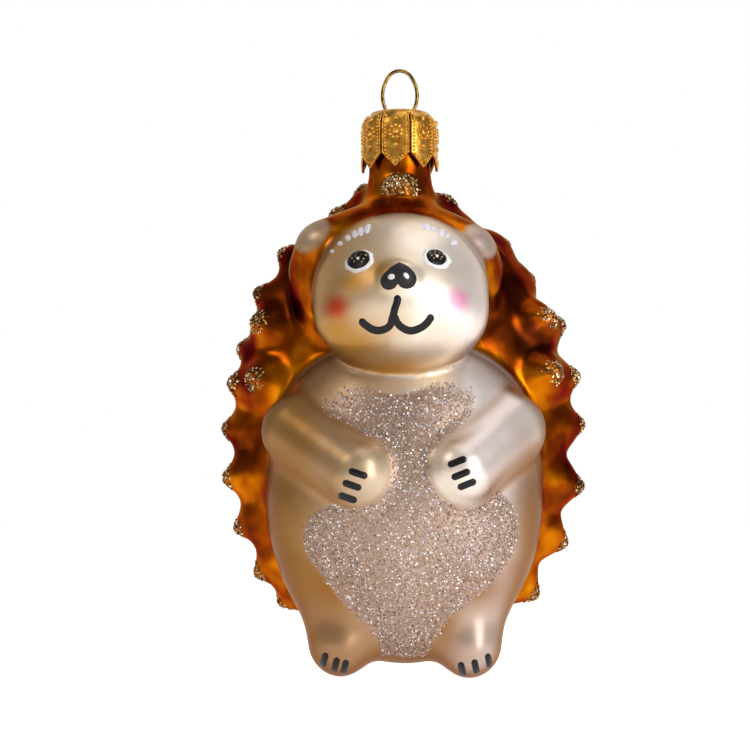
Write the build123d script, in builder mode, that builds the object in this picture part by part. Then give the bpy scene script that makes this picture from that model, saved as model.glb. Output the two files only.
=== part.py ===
from build123d import *
import os
from math import asin, atan2, cos, degrees, radians, sin, sqrt

# A blown-glass hedgehog for the tree, with a stamped crown cap and a spring-wire hanger.
# Millimetres. The origin is the top inside of the wire eye, where a hook bears. Z is up and
# the face looks along -Y.

# Wire hanger
wire_diameter = 0.65
eye_height = 7.2  # hang point down to the top of the cap
loop_crown_radius = 2.4  # bend over the top of the eye, to the middle of the wire
loop_side_radius = 6.0  # flatter bend down each side
loop_crown_turn = 55.0  # degrees from the top of the eye to the side bend
waist_radius = 3.0  # reverse bend just under the cap
leg_splay = 8.0  # degrees that each leg springs outward
leg_clearance = 0.1  # leg tip to the bore of the neck

# Crown cap
cap_radius = 6.6
cap_height = 10.7  # top down to the points of the tongues
cap_sheet = 0.3
cap_shoulder_radius = 3.2
crown_depth = 1.3  # solid top above the slits
tongue_count = 8
tongue_point = 2.6  # height of the V at the end of each tongue
first_slit_angle = 15.0  # degrees from the front to the nearest slit
slit_width = 0.25
cap_play = 1.0  # how far the cap can ride up the wire eye
hole_clearance = 0.12
cap_seat_gap = 0.1

# Glass: one blown bubble
glass_wall = 1.1
neck_radius = 5.4
neck_edge = 0.5  # fire-polished rim, drawn as a chamfer
neck_flare_radius = 7.6
neck_flare_height = 4.4
body_shift = 0.7  # the body stands a little to one side of the neck

mantle_drop_to_widest = 66.0  # hang point down to the widest level of the spiny back
mantle_half_width = 28.2
mantle_half_depth = 15.2
mantle_rise = 44.0
mantle_drop = 34.5
mantle_back = 4.8  # how far the back sits behind the neck

belly_drop_to_widest = 76.0
belly_half_width = 23.6
belly_half_depth = 18.5
belly_rise = 27.0
belly_drop = 27.3
belly_forward = 4.0

chest_drop_to_widest = 62.0
chest_half_width = 21.0
chest_half_depth = 14.0
chest_rise = 15.0
chest_drop = 20.0
chest_forward = 3.0

hood_drop_to_widest = 36.0
hood_half_width = 18.5
hood_half_depth = 12.5
hood_rise = 12.0
hood_drop = 16.0
hood_forward = 5.5
hood_shift = -0.8  # the hood stands a little to the other side

head_drop_to_widest = 41.2
head_half_width = 14.8
head_half_depth = 12.8
head_half_height = 14.45
head_forward = 12.5
muzzle_half_width = 9.6
muzzle_half_depth = 7.6
muzzle_half_height = 7.6
muzzle_place_share = (-0.03, 0.56, -0.14)  # across, forward and up, of the head's half sizes
nose_half_width = 3.4
nose_half_depth = 2.4
nose_half_height = 2.9
nose_place_share = (-0.03, 1.06, 0.10)
ear_half_width = 4.1
ear_half_depth = 3.6
ear_half_height = 3.7
ear_place_shares = ((-0.96, -0.35, 0.71), (0.86, -0.35, 0.66))

shoulder_radius = 6.4
paw_radius = 5.8
shoulder_place_shares = ((-0.76, 0.30, 0.45), (0.74, 0.33, 0.46))  # of the belly's half sizes
paw_place_shares = ((-0.33, 0.83, 0.18), (0.39, 0.83, 0.19))

foot_half_width = 4.8
foot_half_depth = 7.5
foot_half_height = 5.4
foot_place_shares = ((-0.46, 0.28, -0.88), (0.455, 0.28, -0.89))
thigh_radius = 6.2
thigh_place_shares = ((-0.54, 0.14, -0.41), (0.51, 0.14, -0.41))

# Spines: rounded cones set square to the back at a latitude and a longitude in degrees,
# longitude 0 on the +X side, 90 at the back and 180 on the -X side
spine_height = 4.2
neck_spine_height = 2.2
spine_tip_radius = 1.35
spine_slope = 54.0  # degrees of the flank from the back
spine_root = 0.8  # how far each cone runs on into the wall
right_rim_spines = (
    (52, 22), (41, 18), (28, 2), (15.5, -6), (5, 3), (-11, -2), (-27, 2), (-44, 0),
)
left_rim_spines = (
    (77, 166), (48, 176), (36, 183), (22.5, 172), (14, 189), (4, 178), (-8.5, 182), (-22.5, 178),
    (-36.5, 181), (-47, 170),
)
front_spines = ((29, -21), (16, -28), (28, 201), (14.5, 209))
neck_spines = ((75, -4), (71, 55), (70, 110), (66, 192))
back_row_latitudes = (59, 46, 33.5, 21.5, 10, -2, -15, -29, -44)
back_row_counts = (3, 4, 5, 6, 7, 6, 7, 6, 5)
back_row_swing = 6.7  # degrees that keep the columns evenly spaced round the flattened back
back_row_margin_share = 0.125

bead_half_width = 2.95  # round bead at the front of the neck
bead_half_depth = 2.3
bead_half_height = 2.4
bead_drop_below_hang = 21.7

# Coats laid on the glass
coat_gap = 0.04
glitter_thickness = 0.35
enamel_thickness = 0.16
tip_flank_share = 0.4  # how far down its flank each spine's glitter reaches
belly_glitter_shares = (
    (-0.63, 0.60), (-0.50, 0.72), (-0.05, 0.63), (0.44, 0.72), (0.42, 0.57), (0.23, 0.38), (0.20, 0.20),
    (0.33, 0.02), (0.65, 0.03), (0.77, -0.17), (0.52, -0.53), (0.27, -0.86), (0.01, -0.94), (-0.24, -0.88),
    (-0.47, -0.53), (-0.68, -0.17), (-0.54, -0.05), (-0.15, 0.03), (-0.10, 0.21), (-0.40, 0.41),
)
nose_lobe_radius = 1.25
nose_lobe_shares = ((-0.57, -0.40), (0.50, -0.35), (-0.02, 0.38))  # of the nose's half sizes
nose_dab_shares = ((-0.33, 0.05), (0.40, 0.12))
nose_dab_radius = 0.45
mouth_stroke = 1.15
mouth_stem_share = (-0.043, -0.130)  # these five of the head's half sizes
mouth_fork_share = (-0.075, -0.29)
mouth_left_shares = ((-0.253, -0.475), (-0.456, -0.337))
mouth_right_shares = ((0.111, -0.475), (0.333, -0.303))
eye_shares = ((-0.463, 0.352), (0.389, 0.371))
eye_white_width = 4.9
eye_white_height = 3.9
pupil_width = 3.9
pupil_height = 3.1
eye_tilt = 18.0
brow_left_shares = (
    (-0.76, 0.52), (-0.69, 0.60), (-0.61, 0.66), (-0.52, 0.69), (-0.445, 0.71), (-0.37, 0.745),
)
brow_right_shares = ((0.265, 0.755), (0.355, 0.73), (0.455, 0.695), (0.545, 0.655), (0.635, 0.60))
brow_dab_length = 1.5
brow_dab_width = 0.8
claw_length = 3.1
claw_width = 1.15
paw_claw_left_shares = ((-0.06, -0.03), (-0.22, -0.34), (-0.34, -0.65))  # of the paw's radius
paw_claw_right_shares = ((-0.21, 0.26), (-0.09, -0.08), (0.07, -0.38))
paw_claw_turn = 22.0
foot_claw_length = 2.2
foot_claw_left_shares = ((-0.46, -0.46), (-0.06, -0.60), (0.27, -0.62))  # of the foot's half sizes
foot_claw_right_shares = ((-0.25, -0.66), (0.20, -0.63), (0.60, -0.46))
foot_claw_turn = 14.0

overrun = 2.0  # how far a cutting shape runs past what it cuts

# Levels and places worked out from the sizes above
wire_radius = wire_diameter / 2
cap_top = -eye_height
cap_inner_radius = cap_radius - cap_sheet
cap_flat_radius = cap_radius - cap_shoulder_radius
neck_bore_radius = neck_radius - glass_wall
inner_shoulder_radius = cap_shoulder_radius - cap_sheet
neck_rim_reach = neck_radius - neck_edge - cap_flat_radius
seat_drop = inner_shoulder_radius - sqrt(inner_shoulder_radius**2 - neck_rim_reach**2)
neck_top = cap_top - cap_sheet - seat_drop - cap_seat_gap
mantle_center = (body_shift, mantle_back, -mantle_drop_to_widest)
hood_center = (hood_shift, -hood_forward, -hood_drop_to_widest)
hood_top = hood_center[2] + hood_rise
neck_foot = -head_drop_to_widest + head_half_height / 2
belly_center = (body_shift, -belly_forward, -belly_drop_to_widest)
belly_half = (belly_half_width, belly_half_depth, belly_rise)
chest_center = (body_shift, -chest_forward, -chest_drop_to_widest)
head_center = (0, -head_forward, -head_drop_to_widest)
head_half = (head_half_width, head_half_depth, head_half_height)
face_reach = head_forward + 3 * head_half_depth  # far enough forward to pass the whole face


def place(center, half_sizes, shares):
    """A point at shares of the half sizes from a centre: across, forward (-Y) and up."""
    across, forward, up = shares
    return (
        center[0] + across * half_sizes[0],
        center[1] - forward * half_sizes[1],
        center[2] + up * half_sizes[2],
    )


def egg(center, half_width, half_depth, rise, drop):
    """A solid egg: it rises above its widest level and drops below it, elliptical in plan."""
    with BuildPart() as form:
        with BuildSketch(Plane.XZ):
            with BuildLine():
                EllipticalCenterArc((0, 0), half_width, rise, start_angle=0, arc_size=90)
                EllipticalCenterArc((0, 0), half_width, drop, start_angle=270, arc_size=90)
                Line((0, rise), (0, -drop))
            make_face()
        revolve(axis=Axis.Z)
        scale(by=(1, half_depth / half_width, 1))
    return form.part.moved(Location(center))


def limb(start, end, start_radius, end_radius):
    """Two balls and the cone that touches both, as one turned form."""
    axis_line = Vector(*end) - Vector(*start)
    length = axis_line.length
    lean = degrees(asin((start_radius - end_radius) / length))
    side = axis_line.cross(Vector(0, 0, 1))
    with BuildPart() as form:
        with BuildSketch(Plane(origin=start, x_dir=axis_line, z_dir=side)):
            with BuildLine():
                near = CenterArc((0, 0), start_radius, 90 - lean, 90 + lean)
                far = CenterArc((length, 0), end_radius, 0, 90 - lean)
                Line(far @ 1, near @ 0)
                Line(near @ 1, far @ 0)
            make_face()
        revolve(axis=Axis(start, axis_line))
    return form.part


def mantle_form(growth):
    return egg(
        mantle_center,
        mantle_half_width + growth,
        mantle_half_depth + growth,
        mantle_rise + growth,
        mantle_drop + growth,
    )


def belly_form(growth):
    return egg(
        belly_center,
        belly_half_width + growth,
        belly_half_depth + growth,
        belly_rise + growth,
        belly_drop + growth,
    )


def chest_form(growth):
    return egg(
        chest_center,
        chest_half_width + growth,
        chest_half_depth + growth,
        chest_rise + growth,
        chest_drop + growth,
    )


def body_form(growth):
    """Belly and chest together, grown all round for the glitter that lies on them."""
    with BuildPart() as form:
        add(belly_form(growth))
        add(chest_form(growth))
    return form.part


def hood_form(growth):
    return egg(
        hood_center,
        hood_half_width + growth,
        hood_half_depth + growth,
        hood_rise + growth,
        hood_drop + growth,
    )


def head_form(growth):
    return egg(
        head_center,
        head_half_width + growth,
        head_half_depth + growth,
        head_half_height + growth,
        head_half_height + growth,
    )


muzzle_center = place(head_center, head_half, muzzle_place_share)
nose_center = place(head_center, head_half, nose_place_share)


def muzzle_form(growth):
    return egg(
        muzzle_center,
        muzzle_half_width + growth,
        muzzle_half_depth + growth,
        muzzle_half_height + growth,
        muzzle_half_height + growth,
    )


def nose_form(growth):
    return egg(
        nose_center,
        nose_half_width + growth,
        nose_half_depth + growth,
        nose_half_height + growth,
        nose_half_height + growth,
    )


def face_form(growth):
    """Head, muzzle and nose together, grown all round for the coats that lie on them."""
    with BuildPart() as form:
        add(head_form(growth))
        add(muzzle_form(growth))
        add(nose_form(growth))
    return form.part


shoulders = [place(belly_center, belly_half, shares) for shares in shoulder_place_shares]
paws = [place(belly_center, belly_half, shares) for shares in paw_place_shares]
feet = [place(belly_center, belly_half, shares) for shares in foot_place_shares]
thighs = [place(belly_center, belly_half, shares) for shares in thigh_place_shares]
ears = [place(head_center, head_half, shares) for shares in ear_place_shares]


def arm_form(side, growth):
    return limb(shoulders[side], paws[side], shoulder_radius + growth, paw_radius + growth)


def foot_form(side, growth):
    return egg(
        feet[side],
        foot_half_width + growth,
        foot_half_depth + growth,
        foot_half_height + growth,
        foot_half_height + growth,
    )


def thigh_form(side, growth):
    ankle_radius = (thigh_radius + foot_half_width) / 2
    return limb(thighs[side], feet[side], thigh_radius + growth, ankle_radius + growth)


def back_point(latitude, longitude):
    """Plane on the spiny back, its Z square to the surface."""
    height = mantle_rise if latitude > 0 else mantle_drop
    across = cos(radians(latitude)) * cos(radians(longitude))
    behind = cos(radians(latitude)) * sin(radians(longitude))
    up = sin(radians(latitude))
    spot = (
        mantle_center[0] + mantle_half_width * across,
        mantle_center[1] + mantle_half_depth * behind,
        mantle_center[2] + height * up,
    )
    outward = (across / mantle_half_width, behind / mantle_half_depth, up / height)
    return Plane(origin=spot, z_dir=outward)


def spine_places():
    """Planes of all the full spines: both rims, the front pair of rows and the staggered back."""
    spots = list(right_rim_spines) + list(left_rim_spines) + list(front_spines)
    for latitude, count in zip(back_row_latitudes, back_row_counts):
        for index in range(count):
            step = (index + 0.5) / count
            along = back_row_margin_share + (1 - 2 * back_row_margin_share) * step
            longitude = 180 * along + back_row_swing * sin(radians(360 * along))
            spots.append((latitude, longitude))
    return [back_point(latitude, longitude) for latitude, longitude in spots]


def spine_flank(height):
    """Middle of a spine's round tip, where its flank leaves the tip, and the flank's run to the back."""
    turn = radians(90 - spine_slope)
    tip_middle = height - spine_tip_radius
    leave = (spine_tip_radius * cos(turn), tip_middle + spine_tip_radius * sin(turn))
    return tip_middle, leave, leave[1] / sin(radians(spine_slope))


def spine(base, height):
    """One rounded cone whose flank runs on down into the wall of the glass."""
    tip_middle, leave, run = spine_flank(height)
    root_run = run + spine_root / sin(radians(spine_slope))
    root_radius = leave[0] + root_run * cos(radians(spine_slope))
    with BuildPart() as form:
        with BuildSketch(Plane.XZ):
            with BuildLine():
                tip = CenterArc((0, tip_middle), spine_tip_radius, 90, -spine_slope)
                Polyline(tip @ 1, (root_radius, -spine_root), (0, -spine_root), tip @ 0)
            make_face()
        revolve(axis=Axis.Z)
    return form.part.moved(Location(base))


def spine_cap(base, height):
    """A skin of glitter over the round tip and the upper flank of one spine."""
    tip_middle, leave, run = spine_flank(height)
    reach = tip_flank_share * run
    along = Vector(reach * cos(radians(spine_slope)), -reach * sin(radians(spine_slope)))
    under_radius = spine_tip_radius + coat_gap
    with BuildPart() as form:
        with BuildSketch(Plane.XZ):
            with BuildLine():
                under = CenterArc((0, tip_middle), under_radius, 90, -spine_slope)
                over = CenterArc((0, tip_middle), under_radius + glitter_thickness, 90, -spine_slope)
                Polyline(under @ 1, under @ 1 + along, over @ 1 + along, over @ 1)
                Line(under @ 0, over @ 0)
            make_face()
        revolve(axis=Axis.Z)
    return form.part.moved(Location(base))


def bead_form(growth):
    """The round bead moulded on the front of the neck."""
    return egg(
        (0, -neck_radius, -bead_drop_below_hang),
        bead_half_width + growth,
        bead_half_depth + growth,
        bead_half_height + growth,
        bead_half_height + growth,
    )


def neck_form(growth):
    """The tube of the neck with its polished rim, flaring where it runs into the hood."""
    tube_radius = neck_radius + growth
    flare_radius = neck_flare_radius + growth
    with BuildPart() as form:
        with BuildSketch(Plane.XZ):
            with BuildLine():
                tube = Polyline(
                    (0, neck_foot),
                    (0, neck_top),
                    (tube_radius - neck_edge, neck_top),
                    (tube_radius, neck_top - neck_edge),
                    (tube_radius, hood_top + neck_flare_height / 2),
                )
                flare = ThreePointArc(
                    tube @ 1,
                    (tube_radius + (flare_radius - tube_radius) / 4, hood_top - neck_flare_height / 8),
                    (flare_radius, hood_top - neck_flare_height / 2),
                )
                Polyline(flare @ 1, (flare_radius, neck_foot), (0, neck_foot))
            make_face()
        revolve(axis=Axis.Z)
    return form.part


tall_spines = spine_places()
neck_spine_places = [back_point(latitude, longitude) for latitude, longitude in neck_spines]

# The air inside the glass: the same bulges drawn in by the wall, and the bore of the neck
with BuildPart() as hollow:
    with BuildSketch(Plane.XY.offset(neck_foot)):
        Circle(neck_bore_radius)
    extrude(amount=neck_top - neck_foot + overrun)
    add(mantle_form(-glass_wall))
    add(hood_form(-glass_wall))
    add(body_form(-glass_wall))
    add(head_form(-glass_wall))
    add(muzzle_form(-glass_wall))
    for side in (0, 1):
        add(arm_form(side, -glass_wall))
        add(thigh_form(side, -glass_wall))
        add(foot_form(side, -glass_wall))

# The glass: neck, back, belly, face, limbs and spines fused, then hollowed
with BuildPart() as glass_body:
    add(neck_form(0))
    add(mantle_form(0))
    add(hood_form(0))
    add(body_form(0))
    add(face_form(0))
    add(bead_form(0))
    for side in (0, 1):
        add(arm_form(side, 0))
        add(thigh_form(side, 0))
        add(foot_form(side, 0))
        add(egg(ears[side], ear_half_width, ear_half_depth, ear_half_height, ear_half_height))
    add([spine(base, spine_height) for base in tall_spines])
    add([spine(base, neck_spine_height) for base in neck_spine_places])
    add(hollow.part, mode=Mode.SUBTRACT)
glass_body.part.label = "glass_body"

# The wire: one length bent into an eye, nipped at the cap and sprung open inside the neck
crown_center = wire_radius - loop_crown_radius
side_lean = 90 - loop_crown_turn
side_center = (
    -(loop_side_radius - loop_crown_radius) * cos(radians(side_lean)),
    crown_center - (loop_side_radius - loop_crown_radius) * sin(radians(side_lean)),
)
nip_angle = degrees(asin((side_center[1] - cap_top) / loop_side_radius))
nip = (side_center[0] + loop_side_radius * cos(radians(nip_angle)), cap_top)
waist_center = (
    nip[0] + waist_radius * cos(radians(nip_angle)),
    nip[1] - waist_radius * sin(radians(nip_angle)),
)
leg_start = (
    waist_center[0] - waist_radius * cos(radians(leg_splay)),
    waist_center[1] - waist_radius * sin(radians(leg_splay)),
)
leg_tip_across = neck_bore_radius - leg_clearance - wire_radius * cos(radians(leg_splay))
leg_run = (leg_tip_across - leg_start[0]) / sin(radians(leg_splay))
leg_tip = (leg_tip_across, leg_start[1] - leg_run * cos(radians(leg_splay)))

with BuildPart() as wire_hanger:
    with BuildLine(Plane.XZ) as bend:
        Line(leg_tip, leg_start)
        CenterArc(waist_center, waist_radius, 180 + leg_splay, -(leg_splay + nip_angle))
        CenterArc(side_center, loop_side_radius, -nip_angle, nip_angle + side_lean)
        CenterArc((0, crown_center), loop_crown_radius, side_lean, 180 - 2 * side_lean)
        mirror(about=Plane.YZ)
    with BuildSketch(Plane(origin=bend.wire() @ 0, z_dir=bend.wire() % 0)):
        Circle(wire_radius)
    sweep()
wire_hanger.part.label = "wire_hanger"

# The cap: a drawn cup, slit into tongues with pointed ends, with two holes for the wire
high_side = sqrt(loop_side_radius**2 - (cap_top + cap_play - side_center[1]) ** 2)
hole_outer = side_center[0] + high_side + wire_radius / cos(radians(nip_angle))
hole_inner = nip[0] - cap_sheet * sin(radians(nip_angle)) - wire_radius / cos(radians(nip_angle))
hole_radius = (hole_outer - hole_inner) / 2 + hole_clearance
tongue_valley = cap_top - cap_height + tongue_point
tongue_half_chord = cap_radius * sin(radians(180 / tongue_count))

with BuildPart() as crown_cap:
    with BuildSketch(Plane.XZ):
        with BuildLine():
            lid = Line((0, cap_top), (cap_flat_radius, cap_top))
            shoulder_center = (cap_flat_radius, cap_top - cap_shoulder_radius)
            shoulder = CenterArc(shoulder_center, cap_shoulder_radius, 90, -90)
            skirt = Polyline(
                shoulder @ 1,
                (cap_radius, cap_top - cap_height),
                (cap_inner_radius, cap_top - cap_height),
                (cap_inner_radius, cap_top - cap_shoulder_radius),
            )
            inner = CenterArc(shoulder_center, inner_shoulder_radius, 0, 90)
            Polyline(inner @ 1, (0, cap_top - cap_sheet), (0, cap_top))
        make_face()
    revolve(axis=Axis.Z)
    for slit in range(tongue_count):
        turn = radians(first_slit_angle + 360 * slit / tongue_count)
        facing = Plane(origin=(0, 0, 0), x_dir=(cos(turn), sin(turn), 0), z_dir=(sin(turn), -cos(turn), 0))
        with BuildSketch(facing):
            with BuildLine():
                Polyline(
                    (slit_width / 2, cap_top - crown_depth),
                    (slit_width / 2, tongue_valley),
                    (tongue_half_chord, cap_top - cap_height),
                    (tongue_half_chord, cap_top - cap_height - overrun),
                    (-tongue_half_chord, cap_top - cap_height - overrun),
                    (-tongue_half_chord, cap_top - cap_height),
                    (-slit_width / 2, tongue_valley),
                    (-slit_width / 2, cap_top - crown_depth),
                    close=True,
                )
            make_face()
        extrude(amount=cap_radius + overrun, mode=Mode.SUBTRACT)
    with BuildSketch(Plane.XY.offset(cap_top - cap_sheet - overrun)):
        for across in (-1, 1):
            with Locations((across * (hole_outer + hole_inner) / 2, 0)):
                Circle(hole_radius)
    extrude(amount=cap_sheet + 2 * overrun, mode=Mode.SUBTRACT)
crown_cap.part.label = "crown_cap"

# Glitter on the belly, between and below the paws
with BuildPart() as belly_glitter:
    add(body_form(coat_gap + glitter_thickness))
    add(body_form(coat_gap), mode=Mode.SUBTRACT)
    with BuildSketch(Plane.XZ.offset(belly_forward)):
        with BuildLine():
            Spline(
                [
                    (belly_center[0] + across * belly_half_width, belly_center[2] + up * belly_rise)
                    for across, up in belly_glitter_shares
                ],
                periodic=True,
            )
        make_face()
    extrude(amount=belly_half_depth + overrun, mode=Mode.INTERSECT)
    add(face_form(coat_gap), mode=Mode.SUBTRACT)
    for side in (0, 1):
        add(arm_form(side, coat_gap), mode=Mode.SUBTRACT)
        add(thigh_form(side, coat_gap), mode=Mode.SUBTRACT)
        add(foot_form(side, coat_gap), mode=Mode.SUBTRACT)
belly_glitter.part.label = "belly_glitter"

# Glitter on the spine tips and on the bead of the neck
with BuildPart() as spine_glitter:
    add([spine_cap(base, spine_height) for base in tall_spines])
    add([spine_cap(base, neck_spine_height) for base in neck_spine_places])
spine_glitter.part.label = "spine_glitter"

with BuildPart() as bead_glitter:
    add(bead_form(coat_gap + glitter_thickness))
    add(bead_form(coat_gap), mode=Mode.SUBTRACT)
    with BuildSketch(Plane.XZ.offset(neck_radius)):
        with Locations((0, -bead_drop_below_hang)):
            Rectangle(4 * bead_half_width, 4 * bead_half_height)
    extrude(amount=2 * bead_half_depth, mode=Mode.INTERSECT)
    add(neck_form(coat_gap), mode=Mode.SUBTRACT)
    add(hood_form(coat_gap), mode=Mode.SUBTRACT)
bead_glitter.part.label = "bead_glitter"

# Enamel on the face: one layer on the glass, a second on top of the first
first_layer = coat_gap
second_layer = 2 * coat_gap + enamel_thickness
with BuildPart() as face_skin:
    add(face_form(first_layer + enamel_thickness))
    add(face_form(first_layer), mode=Mode.SUBTRACT)
with BuildPart() as face_top_skin:
    add(face_form(second_layer + enamel_thickness))
    add(face_form(second_layer), mode=Mode.SUBTRACT)
front = Plane.XZ.offset(head_forward)


def on_face(share):
    """A place on the face's front view, from a share of the head's half sizes."""
    return (head_center[0] + share[0] * head_half_width, head_center[2] + share[1] * head_half_height)


def on_nose(share):
    return (nose_center[0] + share[0] * nose_half_width, nose_center[2] + share[1] * nose_half_height)


with BuildPart() as nose_enamel:
    add(face_skin.part)
    with BuildSketch(front):
        with BuildLine():
            for share in nose_lobe_shares:
                CenterArc(on_nose(share), nose_lobe_radius, 0, 360)
        make_hull()
    extrude(amount=face_reach, mode=Mode.INTERSECT)
nose_enamel.part.label = "nose_enamel"

mouth_strokes = [
    ThreePointArc(on_face(mouth_fork_share), on_face(middle), on_face(end))
    for middle, end in (mouth_left_shares, mouth_right_shares)
]
mouth_strokes.append(Line(on_face(mouth_stem_share), on_face(mouth_fork_share)))

with BuildPart() as mouth_enamel:
    add(face_skin.part)
    with BuildSketch(front):
        for stroke in mouth_strokes:
            SlotArc(stroke, mouth_stroke)
    extrude(amount=face_reach, mode=Mode.INTERSECT)
mouth_enamel.part.label = "mouth_enamel"

with BuildPart() as eye_whites:
    add(face_skin.part)
    with BuildSketch(front):
        for share, tilt in zip(eye_shares, (eye_tilt, -eye_tilt)):
            with Locations(on_face(share)):
                Ellipse(eye_white_width / 2, eye_white_height / 2, rotation=tilt)
    extrude(amount=face_reach, mode=Mode.INTERSECT)
eye_whites.part.label = "eye_whites"

with BuildPart() as eye_pupils:
    add(face_top_skin.part)
    with BuildSketch(front):
        for share, tilt in zip(eye_shares, (eye_tilt, -eye_tilt)):
            with Locations(on_face(share)):
                Ellipse(pupil_width / 2, pupil_height / 2, rotation=tilt)
    extrude(amount=face_reach, mode=Mode.INTERSECT)
eye_pupils.part.label = "eye_pupils"

with BuildPart() as brow_dabs:
    add(face_skin.part)
    with BuildSketch(front):
        for eye, shares in zip(eye_shares, (brow_left_shares, brow_right_shares)):
            for share in shares:
                spot = Vector(*on_face(share))
                away = spot - Vector(*on_face(eye))
                with Locations(spot):
                    SlotOverall(brow_dab_length, brow_dab_width, rotation=degrees(atan2(away.Y, away.X)))
    extrude(amount=face_reach, mode=Mode.INTERSECT)
    add(hood_form(coat_gap), mode=Mode.SUBTRACT)
brow_dabs.part.label = "brow_dabs"

with BuildPart() as nose_dabs:
    add(face_top_skin.part)
    with BuildSketch(front):
        for share in nose_dab_shares:
            with Locations(on_nose(share)):
                Circle(nose_dab_radius)
    extrude(amount=face_reach, mode=Mode.INTERSECT)
nose_dabs.part.label = "nose_dabs"

# Claws: short strokes on the fronts of the paws and the feet
with BuildPart() as paw_claws:
    for side in (0, 1):
        add(arm_form(side, coat_gap + enamel_thickness))
    for side in (0, 1):
        add(arm_form(side, coat_gap), mode=Mode.SUBTRACT)
    with BuildSketch(Plane.XZ.offset(-paws[0][1])):
        for paw, shares, turn in zip(
            paws, (paw_claw_left_shares, paw_claw_right_shares), (-paw_claw_turn, paw_claw_turn)
        ):
            for across, up in shares:
                with Locations((paw[0] + across * paw_radius, paw[2] + up * paw_radius)):
                    SlotOverall(claw_length, claw_width, rotation=turn)
    extrude(amount=paw_radius + overrun, mode=Mode.INTERSECT)
paw_claws.part.label = "paw_claws"

with BuildPart() as foot_claws:
    for side in (0, 1):
        add(foot_form(side, coat_gap + enamel_thickness))
    for side in (0, 1):
        add(foot_form(side, coat_gap), mode=Mode.SUBTRACT)
    with BuildSketch(Plane.XZ.offset(-feet[0][1])):
        for foot, shares, lean in zip(
            feet, (foot_claw_left_shares, foot_claw_right_shares), (-foot_claw_turn, foot_claw_turn)
        ):
            for across, up in shares:
                with Locations((foot[0] + across * foot_half_width, foot[2] + up * foot_half_height)):
                    SlotOverall(foot_claw_length, claw_width, rotation=90 + lean)
    extrude(amount=foot_half_depth + overrun, mode=Mode.INTERSECT)
foot_claws.part.label = "foot_claws"

os.makedirs("parts", exist_ok=True)
export_step(glass_body.part, "parts/glass_body.step")
export_step(crown_cap.part, "parts/crown_cap.step")
export_step(wire_hanger.part, "parts/wire_hanger.step")
export_step(belly_glitter.part, "parts/belly_glitter.step")
export_step(spine_glitter.part, "parts/spine_glitter.step")
export_step(bead_glitter.part, "parts/bead_glitter.step")
export_step(nose_enamel.part, "parts/nose_enamel.step")
export_step(mouth_enamel.part, "parts/mouth_enamel.step")
export_step(eye_whites.part, "parts/eye_whites.step")
export_step(eye_pupils.part, "parts/eye_pupils.step")
export_step(brow_dabs.part, "parts/brow_dabs.step")
export_step(nose_dabs.part, "parts/nose_dabs.step")
export_step(paw_claws.part, "parts/paw_claws.step")
export_step(foot_claws.part, "parts/foot_claws.step")
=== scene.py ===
# %% [markdown]
# # A blown-glass hedgehog for the tree
# The real thing is one bubble of glass, blown into a mould, silvered inside and lacquered outside. A
# stamped crown cap and a springy wire close its neck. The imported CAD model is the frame: every piece
# below goes where its nodes are.

# %% Load the frame
from math import cos, pi, radians, sin

import bpy
import numpy as np
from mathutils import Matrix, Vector
from mathutils.bvhtree import BVHTree


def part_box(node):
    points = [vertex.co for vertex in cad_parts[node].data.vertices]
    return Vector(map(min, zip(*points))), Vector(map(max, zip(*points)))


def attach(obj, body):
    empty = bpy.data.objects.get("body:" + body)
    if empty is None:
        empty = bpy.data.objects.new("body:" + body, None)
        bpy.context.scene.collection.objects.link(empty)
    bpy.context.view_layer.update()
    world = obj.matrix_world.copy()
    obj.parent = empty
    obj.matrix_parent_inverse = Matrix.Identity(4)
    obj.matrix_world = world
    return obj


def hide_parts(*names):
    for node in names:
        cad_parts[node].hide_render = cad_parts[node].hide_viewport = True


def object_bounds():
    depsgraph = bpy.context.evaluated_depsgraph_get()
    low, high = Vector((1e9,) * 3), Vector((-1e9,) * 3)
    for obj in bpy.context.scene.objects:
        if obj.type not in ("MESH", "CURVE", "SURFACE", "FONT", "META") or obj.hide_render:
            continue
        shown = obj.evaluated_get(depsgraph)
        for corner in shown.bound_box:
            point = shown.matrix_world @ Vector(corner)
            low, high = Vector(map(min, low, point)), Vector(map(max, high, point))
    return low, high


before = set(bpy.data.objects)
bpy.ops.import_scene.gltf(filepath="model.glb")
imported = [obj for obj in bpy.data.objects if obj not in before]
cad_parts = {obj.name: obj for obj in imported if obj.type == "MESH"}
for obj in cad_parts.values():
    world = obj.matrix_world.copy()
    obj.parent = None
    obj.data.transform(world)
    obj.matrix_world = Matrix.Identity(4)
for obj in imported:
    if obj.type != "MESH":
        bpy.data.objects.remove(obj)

cad_low, cad_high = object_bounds()
MM = 0.001
print("CAD box in mm:", [round(v / MM, 1) for v in cad_low], [round(v / MM, 1) for v in cad_high])

# %% [markdown]
# ## Helpers for colours, nodes and pieces
# Colours are written as sRGB hex values, the way a picker shows them, and turned to the linear values
# that shaders use. One function adds any node, sets its properties, and fills its sockets with values or
# links, so that each material below reads as a list of what it is made of.

# %% Colours and nodes
def linear(hex_code):
    """Linear RGBA of an sRGB hex colour."""
    channels = [int(hex_code[i:i + 2], 16) / 255 for i in (1, 3, 5)]
    return [c / 12.92 if c <= 0.04045 else ((c + 0.055) / 1.055) ** 2.4 for c in channels] + [1.0]


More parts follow.
